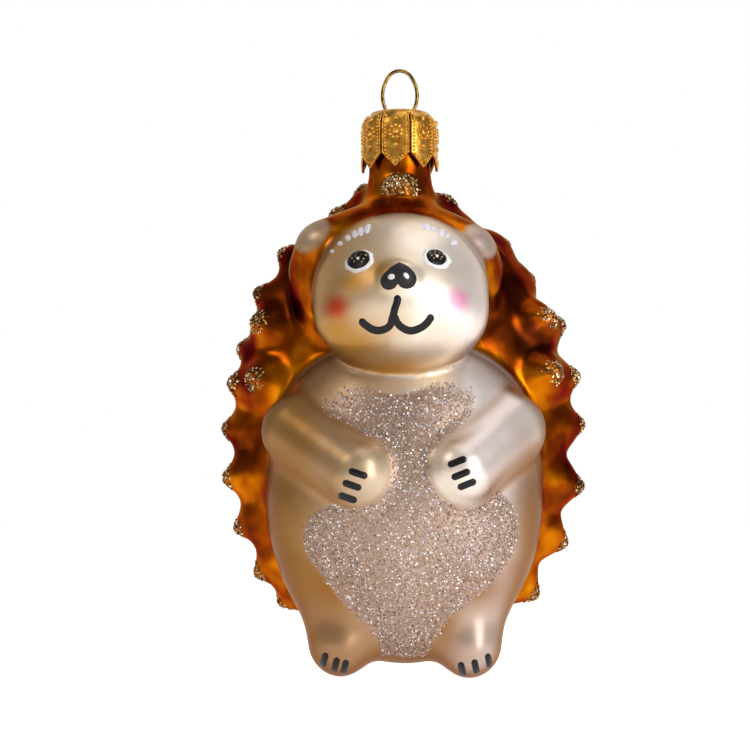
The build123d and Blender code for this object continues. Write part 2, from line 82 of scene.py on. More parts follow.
def add_node(tree, kind, inputs=None, stops=(), **settings):
    """A new node: properties set, sockets filled by values or links, a ramp's stops by place and hex."""
    new = tree.nodes.new(kind)
    for name, value in settings.items():
        setattr(new, name, value)
    for socket, value in (inputs or {}).items():
        if isinstance(value, bpy.types.NodeSocket):
            tree.links.new(value, new.inputs[socket])
        else:
            new.inputs[socket].default_value = value
    while stops and len(new.color_ramp.elements) < len(stops):
        new.color_ramp.elements.new(0.5)
    for index, (place, hex_code) in enumerate(stops):
        new.color_ramp.elements[index].position = place
        new.color_ramp.elements[index].color = linear(hex_code)
    return new


def new_material(name):
    """An empty node material with its output."""
    material = bpy.data.materials.new(name)
    material.use_nodes = True
    material.node_tree.nodes.clear()
    output = add_node(material.node_tree, "ShaderNodeOutputMaterial")
    return material, material.node_tree, output


print("gold of the cap in linear light:", [round(c, 3) for c in linear("#E4B052")[:3]])

# %% New pieces, and the solids of the frame
def new_piece(name, vertices, faces, material):
    """A smooth mesh object at the origin, its place held by its vertices."""
    mesh = bpy.data.meshes.new(name)
    mesh.from_pydata([tuple(v) for v in vertices], [], [tuple(f) for f in faces])
    mesh.validate()
    mesh.shade_smooth()
    mesh.materials.append(material)
    piece = bpy.data.objects.new(name, mesh)
    bpy.context.scene.collection.objects.link(piece)
    return piece


def island_points(node_name):
    """Vertices of each separate solid of a CAD node, as arrays in metres."""
    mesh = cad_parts[node_name].data
    keys = {}
    same = [keys.setdefault(tuple(round(c * 1e6) for c in v.co), v.index) for v in mesh.vertices]
    parent = list(range(len(same)))

    def root(i):
        while parent[i] != i:
            parent[i] = parent[parent[i]]
            i = parent[i]
        return i

    for edge in mesh.edges:
        a, b = (root(same[i]) for i in edge.vertices)
        parent[a] = b
    groups = {}
    for vertex in mesh.vertices:
        groups.setdefault(root(same[vertex.index]), []).append(vertex.co[:])
    return [np.array(points) for points in groups.values()]


def node_surface(node_name):
    """Tree for finding the nearest point of a CAD node."""
    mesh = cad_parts[node_name].data
    mesh.calc_loop_triangles()
    corners = [tuple(t.vertices) for t in mesh.loop_triangles]
    return BVHTree.FromPolygons([v.co for v in mesh.vertices], corners)


tips = island_points("spine_glitter")
print("spines found on the frame:", len(tips))

# %% [markdown]
# ## The blown skin
# Hot glass never makes a sharp inside corner: it bridges it with a soft fillet. Meshes joined by booleans
# keep the corner, and a sculpted mesh can't be written down in sizes, so the skin is drawn as a distance
# field. Each bulge of the mould is an egg or a tapered limb, and neighbours melt together over a width
# chosen for that joint. The field is then turned to quads where it crosses zero.

# %% The bulges of the mould, in millimetres
EGGS = {  # centre, half width, half depth, rise above the widest level, drop below it
    "mantle": ((0.7, 4.8, -66.0), 28.2, 15.2, 44.0, 34.5),
    "hood": ((-0.8, -5.0, -36.0), 18.5, 11.5, 12.0, 16.0),
    "belly": ((0.7, -4.0, -76.0), 23.6, 18.5, 27.0, 27.3),
    "chest": ((0.7, -3.0, -62.0), 21.0, 14.0, 15.0, 20.0),
    "head": ((0.0, -12.5, -41.2), 14.8, 12.8, 13.9, 14.45),
    "muzzle": ((-0.45, -19.65, -43.2), 9.6, 7.6, 7.6, 7.6),
    "nose": ((-0.45, -26.05, -39.75), 3.4, 2.4, 2.9, 2.9),
    "left_cheek": ((-7.6, -17.9, -45.4), 6.0, 5.6, 5.5, 5.5),
    "right_cheek": ((7.6, -17.9, -45.0), 6.0, 5.6, 5.5, 5.5),
    "left_ear": ((-13.4, -9.6, -31.6), 3.8, 3.4, 3.1, 3.1),
    "right_ear": ((11.8, -9.8, -32.6), 3.7, 3.4, 3.3, 3.3),
    "left_foot": ((-10.15, -9.2, -99.75), 4.1, 6.7, 4.6, 4.6),
    "right_foot": ((11.45, -9.2, -100.0), 4.1, 6.7, 4.6, 4.6),
    "bead": ((0.0, -5.4, -21.7), 2.95, 2.3, 2.4, 2.4),
}
LIMBS = {  # two ball centres and their radii
    "left_arm": ((-17.25, -9.55, -63.85), (-7.1, -19.35, -71.15), 6.4, 5.8),
    "right_arm": ((18.15, -10.1, -63.6), (9.9, -19.35, -70.85), 6.4, 5.8),
    "left_thigh": ((-12.05, -8.8, -87.05), (-10.15, -10.6, -98.75), 6.2, 4.4),
    "right_thigh": ((12.75, -8.8, -87.05), (11.45, -10.6, -99.0), 6.2, 4.4),
}
NECK_RADIUS = 5.4
NECK_BORE = 4.3
NECK_TOP = -8.02
NECK_FOOT = -34.0
NECK_BORE_FOOT = -28.0
MELTS = {  # width over which each form melts into the ones before it
    "hood": 3.0, "neck": 6.0, "bead": 0.8, "swell": 1.2, "spine": 3.4,
    "muzzle": 4.5, "cheek": 4.0, "nose": 1.2, "chest": 6.0, "foot": 5.0,
    "leg": 4.0, "arm": 2.2, "face": 1.2, "ears": 3.5, "front": 1.4,
}
print("bulges of the mould:", len(EGGS) + len(LIMBS))

# %% Distances to an egg and to a limb, and how two distances melt
def egg(points, centre, half_width, half_depth, rise, drop):
    """Distance to an egg, exact on its surface and close to it nearby."""
    offset = points - np.array(centre, np.float32)
    sizes = np.empty_like(offset)
    sizes[:, 0] = half_width
    sizes[:, 1] = half_depth
    sizes[:, 2] = np.where(offset[:, 2] > 0, rise, drop)
    level = np.linalg.norm(offset / sizes, axis=1)
    slope = np.linalg.norm(offset / sizes**2, axis=1)
    return level * (level - 1) / np.maximum(slope, 1e-6)


def limb(points, start, end, start_radius, end_radius):
    """Distance to two balls and the cone between them."""
    start = np.array(start, np.float32)
    axis = np.array(end, np.float32) - start
    length = np.linalg.norm(axis)
    axis = axis / length
    offset = points - start
    along = offset @ axis
    across = np.linalg.norm(offset - along[:, None] * axis, axis=1)
    lean = (start_radius - end_radius) / length
    share = np.clip((along - across * lean / np.sqrt(1 - lean**2)) / length, 0, 1)
    gap = np.hypot(across, along - share * length)
    return gap - (start_radius + share * (end_radius - start_radius))


def melt(a, b, width):
    """Smooth union of two distances over a blend width."""
    mix = np.maximum(width - np.abs(a - b), 0) / width
    return np.minimum(a, b) - mix**2 * width / 4


print("fillet at the foot of the neck in mm:", -melt(0.0, 0.0, MELTS["neck"]))

# %% Spines read from the frame
SPINE_HEIGHT = 5.0  # from the tip down to the middle of the root
SPINE_STAND = 4.2  # from the tip down to the bare back
SPINE_ROOT_RADIUS = 3.7
SPINE_TIP_RADIUS = 1.4
SPINE_REACH = 13.0  # a spine is drawn this far around its tip
SWELL_RADIUS = 7.0  # low dome that each spine stands on
SWELL_HEIGHT = 0.8
TIP_COAT = 0.4  # glitter over the tip


def spine_axes():
    """Direction and tip of every spine, from its glitter on the frame and the shape of the back."""
    centre = np.array(EGGS["mantle"][0])
    half = np.array([EGGS["mantle"][1], EGGS["mantle"][2], 0.0])
    spines = []
    for points in tips:
        middle = points.mean(axis=0) / MM
        half[2] = EGGS["mantle"][3] if middle[2] > centre[2] else EGGS["mantle"][4]
        outward = (middle - centre) / half**2
        outward = outward / np.linalg.norm(outward)
        top = ((points / MM - middle) @ outward).max()
        spines.append((outward, middle + outward * (top - TIP_COAT)))
    return spines


SPINES = spine_axes()
levels = [tip[2] for _, tip in SPINES]
print("spines from", round(min(levels), 1), "to", round(max(levels), 1), "mm")

# %% The amber half: back, hood, neck and bead
def back_field(points):
    """The amber half with its spines, and the same half bare."""
    field = melt(egg(points, *EGGS["mantle"]), egg(points, *EGGS["hood"]), MELTS["hood"])
    across = np.hypot(points[:, 0], points[:, 1])
    ends = np.maximum(points[:, 2] - NECK_TOP, NECK_FOOT - points[:, 2])
    field = melt(field, np.maximum(across - NECK_RADIUS, ends), MELTS["neck"])
    field = melt(field, egg(points, *EGGS["bead"]), MELTS["bead"])
    bare = field.copy()
    for outward, tip in SPINES:
        near = np.where(np.abs(points - np.array(tip, np.float32)).max(axis=1) < SPINE_REACH)[0]
        if len(near) == 0:
            continue
        some = points[near]
        root = tip - outward * SPINE_HEIGHT
        cone = limb(some, root, tip - outward * SPINE_TIP_RADIUS, SPINE_ROOT_RADIUS, SPINE_TIP_RADIUS)
        dome = root + outward * (SPINE_HEIGHT - SPINE_STAND + SWELL_HEIGHT - SWELL_RADIUS)
        swell = np.linalg.norm(some - dome.astype(np.float32), axis=1) - SWELL_RADIUS
        swell = np.maximum(swell, bare[near] - SWELL_HEIGHT)
        field[near] = melt(melt(field[near], swell, MELTS["swell"]), cone, MELTS["spine"])
    return field, bare


tip_misses = back_field(np.array([tip for _, tip in SPINES], np.float32))[0]
print("spine tips off the drawn back by at most", round(float(np.abs(tip_misses).max()), 2), "mm")

# %% The pearl half: face, trunk, limbs and ears
def face_field(points):
    """The head with its muzzle, cheeks and nose."""
    head = melt(egg(points, *EGGS["head"]), egg(points, *EGGS["muzzle"]), MELTS["muzzle"])
    for cheek in ("left_cheek", "right_cheek"):
        head = melt(head, egg(points, *EGGS[cheek]), MELTS["cheek"])
    return melt(head, egg(points, *EGGS["nose"]), MELTS["nose"])


def trunk_field(points):
    """Belly and chest, one under the other."""
    return melt(egg(points, *EGGS["belly"]), egg(points, *EGGS["chest"]), MELTS["chest"])


def ear_field(points):
    """The nearer of the two ears."""
    return np.minimum(egg(points, *EGGS["left_ear"]), egg(points, *EGGS["right_ear"]))


def front_field(points):
    """The pearl half without the ears: face, belly, arms and legs."""
    body = trunk_field(points)
    for side in ("left", "right"):
        leg = melt(limb(points, *LIMBS[side + "_thigh"]), egg(points, *EGGS[side + "_foot"]), MELTS["foot"])
        body = melt(body, leg, MELTS["leg"])
        body = melt(body, limb(points, *LIMBS[side + "_arm"]), MELTS["arm"])
    return melt(body, face_field(points), MELTS["face"])


def skin_field(points):
    """The whole outside with the neck bored open, the two halves, and the back without its spines."""
    back, bare = back_field(points)
    front = front_field(points)
    ears = ear_field(points)
    whole = melt(melt(back, ears, MELTS["ears"]), front, MELTS["front"])
    across = np.hypot(points[:, 0], points[:, 1])
    bore = np.maximum(across - NECK_BORE, NECK_BORE_FOOT - points[:, 2])
    return np.maximum(whole, -bore), back, np.minimum(front, ears), bare


belly_front = np.array([EGGS["belly"][0]]) - (0.0, EGGS["belly"][2], 0.0)
print("front of the belly off the skin by", abs(skin_field(belly_front)[0].round(2)[0]), "mm")

# %% [markdown]
# ## From field to mesh
# Marching cubes would do, but it leaves thin slivers that shade badly on gloss. Surface nets puts one
# vertex in each grid cell that the surface passes through and joins neighbours with even quads. A few
# Newton steps along the field's slope then set each vertex on the skin.

# %% Surface nets
CELL = 0.55


def surface_nets(field, low, step):
    """Vertices and quads of the zero level of a sampled field."""
    inside = field < 0
    cells = tuple(n - 1 for n in field.shape)
    corners = [(i, j, k) for i in (0, 1) for j in (0, 1) for k in (0, 1)]
    filled = sum(
        inside[i:i + cells[0], j:j + cells[1], k:k + cells[2]].astype(np.int8) for i, j, k in corners
    )
    spots = np.argwhere((filled > 0) & (filled < 8))
    number = np.full(cells, -1, np.int32)
    number[tuple(spots.T)] = np.arange(len(spots))
    total = np.zeros((len(spots), 3))
    count = np.zeros(len(spots))
    quads = []
    for axis in range(3):
        one, two = (axis + 1) % 3, (axis + 2) % 3
        for a in (0, 1):
            for b in (0, 1):
                start = np.zeros(3, int)
                start[one], start[two] = a, b
                end = start.copy()
                end[axis] = 1
                first = field[tuple((spots + start).T)]
                last = field[tuple((spots + end).T)]
                cross = (first < 0) != (last < 0)
                share = first[cross] / (first[cross] - last[cross])
                total[cross] += start + share[:, None] * (end - start)
                count[cross] += 1
        before = [slice(1, -1)] * 3
        after = [slice(1, -1)] * 3
        before[axis], after[axis] = slice(0, -1), slice(1, None)
        flip = np.argwhere(inside[tuple(before)] != inside[tuple(after)])
        edge = flip + 1
        edge[:, axis] -= 1
        ring = []
        for a, b in ((-1, -1), (0, -1), (0, 0), (-1, 0)):
            cell = edge.copy()
            cell[:, one] += a
            cell[:, two] += b
            ring.append(number[tuple(cell.T)])
        ring = np.stack(ring, axis=1)
        backwards = ~inside[tuple(edge.T)]
        ring[backwards] = ring[backwards][:, ::-1]
        quads.append(ring)
    return low + step * (spots + total / count[:, None]), np.concatenate(quads)


print("grid step in mm:", CELL)

# %% Mesh the skin
PROBE = 0.05
LEAST_SLOPE = 0.05
LARGEST_MOVE = 0.4


def settle(points, steps=4):
    """Moves points onto the skin and returns them with the outward direction there."""
    for _ in range(steps):
        slope = np.empty_like(points)
        for axis in range(3):
            shift = np.zeros(3, np.float32)
            shift[axis] = PROBE
            climb = skin_field(points + shift)[0] - skin_field(points - shift)[0]
            slope[:, axis] = climb / (2 * PROBE)
        size = np.maximum((slope**2).sum(axis=1), LEAST_SLOPE)
        move = np.clip(skin_field(points)[0] / size, -LARGEST_MOVE, LARGEST_MOVE)
        points = points - move[:, None] * slope
    return points, slope / np.linalg.norm(slope, axis=1)[:, None]


low = np.array(cad_low) / MM - 2 * CELL
high = np.array(cad_high) / MM + 2 * CELL
high[2] = NECK_TOP + 2 * CELL
axes = [np.arange(low[i], high[i] + CELL, CELL, dtype=np.float32) for i in range(3)]
grid = np.stack(np.meshgrid(*axes, indexing="ij"), axis=-1).reshape(-1, 3)
samples = skin_field(grid)[0].reshape([len(a) for a in axes])
skin_points, skin_quads = surface_nets(samples, low, CELL)
skin_points, skin_normals = settle(skin_points.astype(np.float32))
print("skin:", len(skin_points), "vertices,", len(skin_quads), "quads")

# %% [markdown]
# ## Where each paint goes
# A painter sprays the pearl front first, adds ochre with an airbrush, masks it and sprays the amber back,
# and a little amber drifts past the mask. Light and shade are painted in as well: shade in creases, on
# the left and where the skin turns away from the front, cool light on the right, highlights on the amber.
# A painted image would need the skin unwrapped, so each layer is a number from 0 to 1 at every vertex
# instead. It is worked out from the same distances that shaped the skin: which half a point belongs to,
# how deep it lies in a crease, which way it faces, how far it stands out on a spine.

# %% Distances that the paint follows
def smoothstep(start, end, value):
    """Rises smoothly from 0 at start to 1 at end."""
    share = np.clip((value - start) / (end - start), 0, 1)
    return share * share * (3 - 2 * share)


_, back, front, bare = skin_field(skin_points)
face = face_field(skin_points)
trunk = trunk_field(skin_points)
loose_forms = [back, face, trunk]
loose_forms += [limb(skin_points, *LIMBS[name]) for name in LIMBS]
for pair in ("foot", "ear"):
    loose_forms += [egg(skin_points, *EGGS[side + pair]) for side in ("left_", "right_")]
nearest_form = np.min(loose_forms, axis=0)
tip_gap = np.min([np.linalg.norm(skin_points - tip, axis=1) for _, tip in SPINES], axis=0)
belly_coat = node_surface("belly_glitter")
coat_gap = np.array([belly_coat.find_nearest(Vector(p) * MM)[3] for p in skin_points]) / MM
print("deepest fillet in mm:", round(float(nearest_form.max()), 2))

# %% Lacquers and glue, their edges in millimetres
MASK_EDGE = (-0.3, 0.3)
CREASE_SHADE_EDGE = (0.05, 0.45)
BELLY_GLUE_EDGE = (0.5, 1.1)
TRUNK_GLUE_REACH = 0.45  # past this, the skin is a paw or a foot and stays clean
TIP_GLUE_EDGE = (2.0, 2.8)
BEAD_GLUE_EDGE = (0.15, 0.5)
layers = {
    "amber": smoothstep(*MASK_EDGE, front - back),
    # Painted shade: brown where the forms melt into each other, deepest in the creases.
    "fold": smoothstep(*CREASE_SHADE_EDGE, nearest_form),
    # Lighter towards the spine tips: lacquer pools in the valleys, and painted shade darkens them too.
    "rise": np.clip(bare / SPINE_STAND, 0, 1),
    "belly_glue": (1 - smoothstep(*BELLY_GLUE_EDGE, coat_gap)) * (trunk < TRUNK_GLUE_REACH),
    "tip_glue": 1 - smoothstep(*TIP_GLUE_EDGE, tip_gap),
    "bead_glue": 1 - smoothstep(*BEAD_GLUE_EDGE, egg(skin_points, *EGGS["bead"])),
}
print("amber share of the skin:", round(float(layers["amber"].mean()), 2))

# %% Blushes, and the ochre airbrush with painted shade
BLUSHES = {"left_blush": (-10.75, -44.1, 2.1), "right_blush": (9.15, -43.1, 2.1)}  # across, height, reach
BLUSH_EDGE = (0.2, 1.5)  # shares of the reach
# The clouds are partly ochre airbrush and partly painted shade, as under the chin, on the legs and under
# the belly.
FACE_CLOUDS = [  # ochre on the face: across, height, reach across, reach up
    (-7.4, -40.2, 3.2, 1.8), (-3.4, -38.2, 2.8, 1.9), (-8.0, -50.5, 5.0, 3.5),
    (-1.0, -54.0, 9.0, 2.2), (-10.5, -48.0, 3.5, 3.0),
]
BODY_CLOUDS = [  # and on the body
    (-17.5, -62.5, 5.0, 7.0), (-19.0, -81.0, 5.0, 14.0), (21.5, -80.0, 4.5, 14.0),
    (-11.5, -89.5, 6.0, 4.0), (12.0, -90.0, 5.0, 3.0), (7.0, -95.0, 3.0, 6.0), (0.7, -101.0, 7.0, 3.0),
]
CLOUD_STRENGTH = 0.9
# Painted shade: the ochre thickens towards the left side.
LEFT_SHADE_STRENGTH = 0.75  # ochre that thickens towards the left side
LEFT_SHADE_RUN = (6.0, -13.0)
FACE_EDGE = (0.2, 0.8)
EAR_EDGE = (-0.5, 2.5)

x, y, z = skin_points.T
on_face = 1 - smoothstep(*FACE_EDGE, face)
off_ears = smoothstep(*EAR_EDGE, ear_field(skin_points))
for name, (across, height, reach) in BLUSHES.items():
    away = np.hypot(x - across, z - height) / reach
    layers[name] = (1 - smoothstep(*BLUSH_EDGE, away)) * on_face
for name, clouds, part in (("face_brush", FACE_CLOUDS, on_face), ("body_brush", BODY_CLOUDS, 1 - on_face)):
    clear = 1 - LEFT_SHADE_STRENGTH * smoothstep(*LEFT_SHADE_RUN, x)
    for across, height, wide, tall in clouds:
        away = np.hypot((x - across) / wide, (z - height) / tall)
        clear *= 1 - CLOUD_STRENGTH * np.exp(-away**2)
    layers[name] = (1 - clear) * off_ears * part
print("strongest ochre on the face:", round(float(layers["face_brush"].max()), 2))

# %% Overspray and painted edge shade, thin amber with painted highlight, painted cool light
DRIFT_RUN = 1.3  # how far amber drifts past the mask
LOW_DRIFT_RUN = 2.2  # and how much further below the arms
LOW_DRIFT_LEVELS = (-52.0, -64.0)
BODY_TURN = (0.85, 0.35)  # facing share where the painted edge shade starts and is full
BODY_EDGE_SHADE = 0.85
FACE_TURN = (0.5, 0.1)
FACE_EDGE_SHADE = 0.6
# Close to the pearl and over the top of the hood the amber is thin lacquer with a painted highlight over
# it.
THIN_RUN = 5.0  # amber is thin this close to the pearl
HOOD_LEVELS = (-38.0, -29.0)
HOOD_DEPTHS = (0.0, -5.0)
COOL_LIGHT_RUN = (3.0, 15.0)

# Painted shade: brown where the skin turns away from the front, strongest at the silhouette.
facing = -skin_normals[:, 1]
body_edge_shade = BODY_EDGE_SHADE * smoothstep(*BODY_TURN, facing) * (1 - on_face)
face_edge_shade = FACE_EDGE_SHADE * smoothstep(*FACE_TURN, facing) * on_face
drift_run = DRIFT_RUN + LOW_DRIFT_RUN * smoothstep(*LOW_DRIFT_LEVELS, z)
# Amber overspray past the mask, which also lays a painted shadow line where head and hood meet.
drift = np.exp(-np.maximum(back - front, 0) / drift_run)
layers["drift"] = np.maximum(drift, body_edge_shade + face_edge_shade) * off_ears
# Painted highlight: the top of the hood is lighter, as if catching light from above.
hood_top_highlight = smoothstep(*HOOD_LEVELS, z) * smoothstep(*HOOD_DEPTHS, y)
layers["thin"] = np.maximum(np.exp(-np.maximum(front, 0) / THIN_RUN), hood_top_highlight)
# Painted cool light: the pearl turns paler and bluer towards the right side.
layers["lavender"] = smoothstep(*COOL_LIGHT_RUN, x)
print("layers:", ", ".join(layers))

# %% [markdown]
# ## Lacquer over silvered glass
# The bubble is silvered inside, so both lacquers have metal under them. The pearl lacquer holds mica and is
# nearly opaque, so the eye sees a soft satin. The amber lacquer is clear and dyed, so it shines like metal:
# golden where it is thin and brown where it pools. Painted highlights lighten it further on the spines,
# beside the pearl and over the top of the hood, and painted shade darkens the valleys between spines. Two
# materials would meet in a jagged line of faces, so both are one material that the amber layer mixes.

# %% Pearl lacquer, sprayed in layers
PEARL_CLOUD = 6.0
# Besides real ochre, blush and glue, these sprays paint light and shade: cool light on the right, shade in
# creases, on the left and at edges turned away.
SPRAYS = [  # layer, strength and colour, in the order that they are sprayed
    ("lavender", 0.6, "#EDE4EA"),
    ("face_brush", 0.95, "#B07A12"),
    ("body_brush", 0.95, "#94620C"),
    ("drift", 0.9, "#7C4A08"),
    ("fold", 0.5, "#86500F"),
    ("left_blush", 0.9, "#C63A1C"),
    ("right_blush", 0.75, "#E67AB0"),
    ("belly_glue", 0.85, "#A88A7A"),
]


def mottle(tree, size_mm, detail=2.0):
    """Soft mottling, from 0 to 1, with patches of a real size."""
    place = add_node(tree, "ShaderNodeTexCoord").outputs["Object"]
    scale = 1 / (size_mm * MM)
    patches = add_node(tree, "ShaderNodeTexNoise", {"Vector": place, "Scale": scale, "Detail": detail})
    return patches.outputs["Fac"]


lacquer, tree, output = new_material("lacquered_silvered_glass")
pearl = add_node(
    tree, "ShaderNodeValToRGB", {0: mottle(tree, PEARL_CLOUD)}, [(0.3, "#E0CFB4"), (0.7, "#F3E9DC")]
).outputs["Color"]
for layer, strength, hex_code in SPRAYS:
    amount = add_node(tree, "ShaderNodeAttribute", attribute_name=layer).outputs["Fac"]
    cover = add_node(tree, "ShaderNodeMath", {0: amount, 1: strength}, operation="MULTIPLY").outputs[0]
    sprayed = add_node(tree, "ShaderNodeMix", {0: cover, 6: pearl, 7: linear(hex_code)}, data_type="RGBA")
    pearl = sprayed.outputs[2]
print("sprays over the pearl:", len(SPRAYS))

# %% Amber lacquer, brown where it pools, with painted shade and painted highlights
AMBER_BLOTCH = 7.0
AMBER_LIGHTENING = [("rise", 0.2), ("thin", 0.3)]  # layer, and how much it lightens the amber
blotch = add_node(
    tree, "ShaderNodeMapRange",
    {"Value": mottle(tree, AMBER_BLOTCH), "From Min": 0.3, "From Max": 0.7, "To Min": 0.0, "To Max": 0.55},
)
lightness = blotch.outputs[0]
# Painted highlight and shade: the amber is lighter on the spine crests, beside the pearl and on the hood
# top.
for layer, strength in AMBER_LIGHTENING:
    amount = add_node(tree, "ShaderNodeAttribute", attribute_name=layer).outputs["Fac"]
    lightened = add_node(
        tree, "ShaderNodeMath", {0: amount, 1: strength, 2: lightness}, operation="MULTIPLY_ADD"
    )
    lightness = lightened.outputs[0]
amber = add_node(
    tree, "ShaderNodeValToRGB", {0: lightness},
    [(0.05, "#2C0A00"), (0.25, "#581E00"), (0.48, "#883A00"), (0.72, "#BC6800"), (1.0, "#F8AA14")],
).outputs["Color"]
print("lacquer nodes so far:", len(tree.nodes))

# %% Both lacquers on the silvered skin
FINISHES = [("Metallic", 0.6, 1.0), ("Roughness", 0.38, 0.26), ("Coat Weight", 0.08, 0.03)]  # pearl, amber
WAVE = 7.0  # slow waves of blown glass
WAVE_HEIGHT = 0.4
on_amber = add_node(tree, "ShaderNodeAttribute", attribute_name="amber").outputs["Fac"]
skin_colour = add_node(tree, "ShaderNodeMix", {0: on_amber, 6: pearl, 7: amber}, data_type="RGBA")
waves = add_node(
    tree, "ShaderNodeBump", {"Height": mottle(tree, WAVE), "Strength": 0.5, "Distance": WAVE_HEIGHT * MM}
)
sockets = {
    "Base Color": skin_colour.outputs[2],
    "Normal": waves.outputs[0],
    "Specular Tint": linear("#D0A868"),
    "Coat Roughness": 0.28,
}
for socket, pearl_value, amber_value in FINISHES:
    between = add_node(
        tree, "ShaderNodeMapRange", {"Value": on_amber, "To Min": pearl_value, "To Max": amber_value}
    )
    sockets[socket] = between.outputs[0]
shader = add_node(tree, "ShaderNodeBsdfPrincipled", sockets)
tree.links.new(shader.outputs[0], output.inputs["Surface"])

glass_skin = new_piece("glass_skin", skin_points * MM, skin_quads, lacquer)
for name, values in layers.items():
    layer = glass_skin.data.attributes.new(name, "FLOAT", "POINT")
    layer.data.foreach_set("value", values.astype(np.float32))
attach(glass_skin, "ornament")
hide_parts("glass_body")
print("glass skin:", len(glass_skin.data.polygons), "faces")

# %% [markdown]
# ## Brushed enamel marks
# Eyes, nose, mouth, brows and claws are dabs and strokes of thick enamel. A change of colour in the lacquer
# would lie flat, so each mark is a sheet of its own. It is drawn flat from the front, thrown back onto the
# skin along +Y, and given the low dome that a wet brush leaves. Its underside sinks into the lacquer.

# %% Paint thrown onto the skin
skin_tree = BVHTree.FromPolygons([Vector(p) * MM for p in skin_points], skin_quads.tolist())
PAINT_START = -0.06  # metres, in front of everything
PAINT_SINK = 0.06


def on_skin(across, height):
    """Point and outward direction of the skin seen from the front, in metres."""
    start = Vector((across * MM, PAINT_START, height * MM))
    hit, normal, _, _ = skin_tree.ray_cast(start, Vector((0, 1, 0)))
    return hit, normal


def lay_paint(rows, tops, base):
    """Closed sheet of paint over a grid of flat places, with the paint's height at each."""
    upper, lower = [], []
    for row, heights in zip(rows, tops):
        for (across, height), top in zip(row, heights):
            hit, normal = on_skin(across, height)
            upper.append(hit + normal * (base + top) * MM)
            lower.append(hit + normal * (base - PAINT_SINK) * MM)
    return upper, lower


BELLY_SPOT = (0.7, -76.0)
print("skin in front of the belly in mm:", [round(v / MM, 1) for v in on_skin(*BELLY_SPOT)[0]])

# %% Domed dabs
DAB_WAVES = (5, 8)  # dents round an uneven edge


def patch(centre, outline, thickness, base=0.0, rings=5):
    """Domed patch of enamel inside an outline, closed below."""
    sides = len(outline)
    middle = np.array(centre, float)
    flat, tops = [centre], [thickness]
    for ring in range(1, rings + 1):
        share = ring / rings
        flat += [tuple(middle + share * (np.array(place) - middle)) for place in outline]
        tops += [thickness * np.sqrt(max(1 - share**2, 0.0))] * sides
    upper, lower = lay_paint([flat], [tops], base)
    count = len(flat)
    last = 1 + (rings - 1) * sides
    faces, rim = [], []
    for side in range(sides):
        after = (side + 1) % sides
        faces.append((0, 1 + side, 1 + after))
        rim.append((last + side, count + last + side, count + last + after, last + after))
        for inner in range(1, last, sides):
            outer = inner + sides
            faces.append((inner + side, outer + side, outer + after, inner + after))
    under = [tuple(count + i for i in reversed(face)) for face in faces]
    return upper + lower, faces + under + rim


def dab(centre, half_width, half_height, turn, thickness, base=0.0, wobble=0.0, sides=28):
    """Oval dab of enamel, its edge a little uneven where a brush left it so."""
    c, s = cos(radians(turn)), sin(radians(turn))
    outline = []
    for side in range(sides):
        angle = 2 * pi * side / sides
        uneven = 1 + wobble * sin(DAB_WAVES[0] * angle + centre[0]) + wobble * sin(DAB_WAVES[1] * angle)
        x = half_width * uneven * cos(angle)
        z = half_height * uneven * sin(angle)
        outline.append((centre[0] + x * c - z * s, centre[1] + x * s + z * c))
    return patch(centre, outline, thickness, base)


print("faces of a round dab:", len(dab(BELLY_SPOT, 1.0, 1.0, 0, 0.1)[1]))

# %% Brush strokes
STROKE_END = 0.02  # keeps the ends of a stroke from closing to a point


def smooth_path(places, steps=10):
    """Points of a smooth curve through a few places."""
    places = [np.array(p, float) for p in places]
    places = [2 * places[0] - places[1]] + places + [2 * places[-1] - places[-2]]
    path = []
    for a, b, c, d in zip(places, places[1:], places[2:], places[3:]):
        for step in range(steps):
            t = step / steps
            bend = (2 * a - 5 * b + 4 * c - d) * t**2 + (3 * b - a - 3 * c + d) * t**3
            path.append(0.5 * (2 * b + (c - a) * t + bend))
    return path + [places[-2]]


def stroke(places, width, thickness, base=0.0, steps=10, across_count=5):
    """Brush stroke of enamel along a few places, round at both ends."""
    path = np.array(smooth_path(places, steps))
    run = np.append(0.0, np.cumsum(np.linalg.norm(np.diff(path, axis=0), axis=1)))
    stops = run[-1] * (1 - np.cos(np.linspace(0, pi, len(path)))) / 2  # closer together at both ends
    path = np.stack([np.interp(stops, run, path[:, axis]) for axis in (0, 1)], axis=1)
    run = stops
    half = width / 2
    rows, tops = [], []
    for index, point in enumerate(path):
        ahead = path[min(index + 1, len(path) - 1)] - path[max(index - 1, 0)]
        side = np.array([-ahead[1], ahead[0]]) / np.linalg.norm(ahead)
        end = min(run[index], run[-1] - run[index])
        swell = np.sqrt(max(1 - (1 - min(end / half, 1)) ** 2, STROKE_END))
        shares = np.linspace(-1, 1, across_count)
        rows.append([tuple(point + side * half * swell * share) for share in shares])
        tops.append([thickness * swell * np.sqrt(max(1 - share**2, 0.0)) for share in shares])
    upper, lower = lay_paint(rows, tops, base)
    count = len(upper)
    faces = []
    for row in range(len(path) - 1):
        for column in range(across_count - 1):
            a = row * across_count + column
            faces.append((a, a + across_count, a + across_count + 1, a + 1))
    under = [tuple(count + i for i in reversed(face)) for face in faces]
    border = list(range(0, count, across_count)) + list(range(count - across_count + 1, count))
    border += list(range(count - 1 - across_count, 0, -across_count)) + list(range(across_count - 2, 0, -1))
    rim = [(a, count + a, count + b, b) for a, b in zip(border[1:] + border[:1], border)]
    return upper + lower, faces + under + rim


def join(parts):
    """One list of vertices and faces from several."""
    vertices, faces = [], []
    for more_vertices, more_faces in parts:
        start = len(vertices)
        vertices += [tuple(v) for v in more_vertices]
        faces += [tuple(start + i for i in face) for face in more_faces]
    return vertices, faces


print("faces of a short stroke:", len(stroke([BELLY_SPOT, (3.0, -76.0)], 1.0, 0.2)[1]))

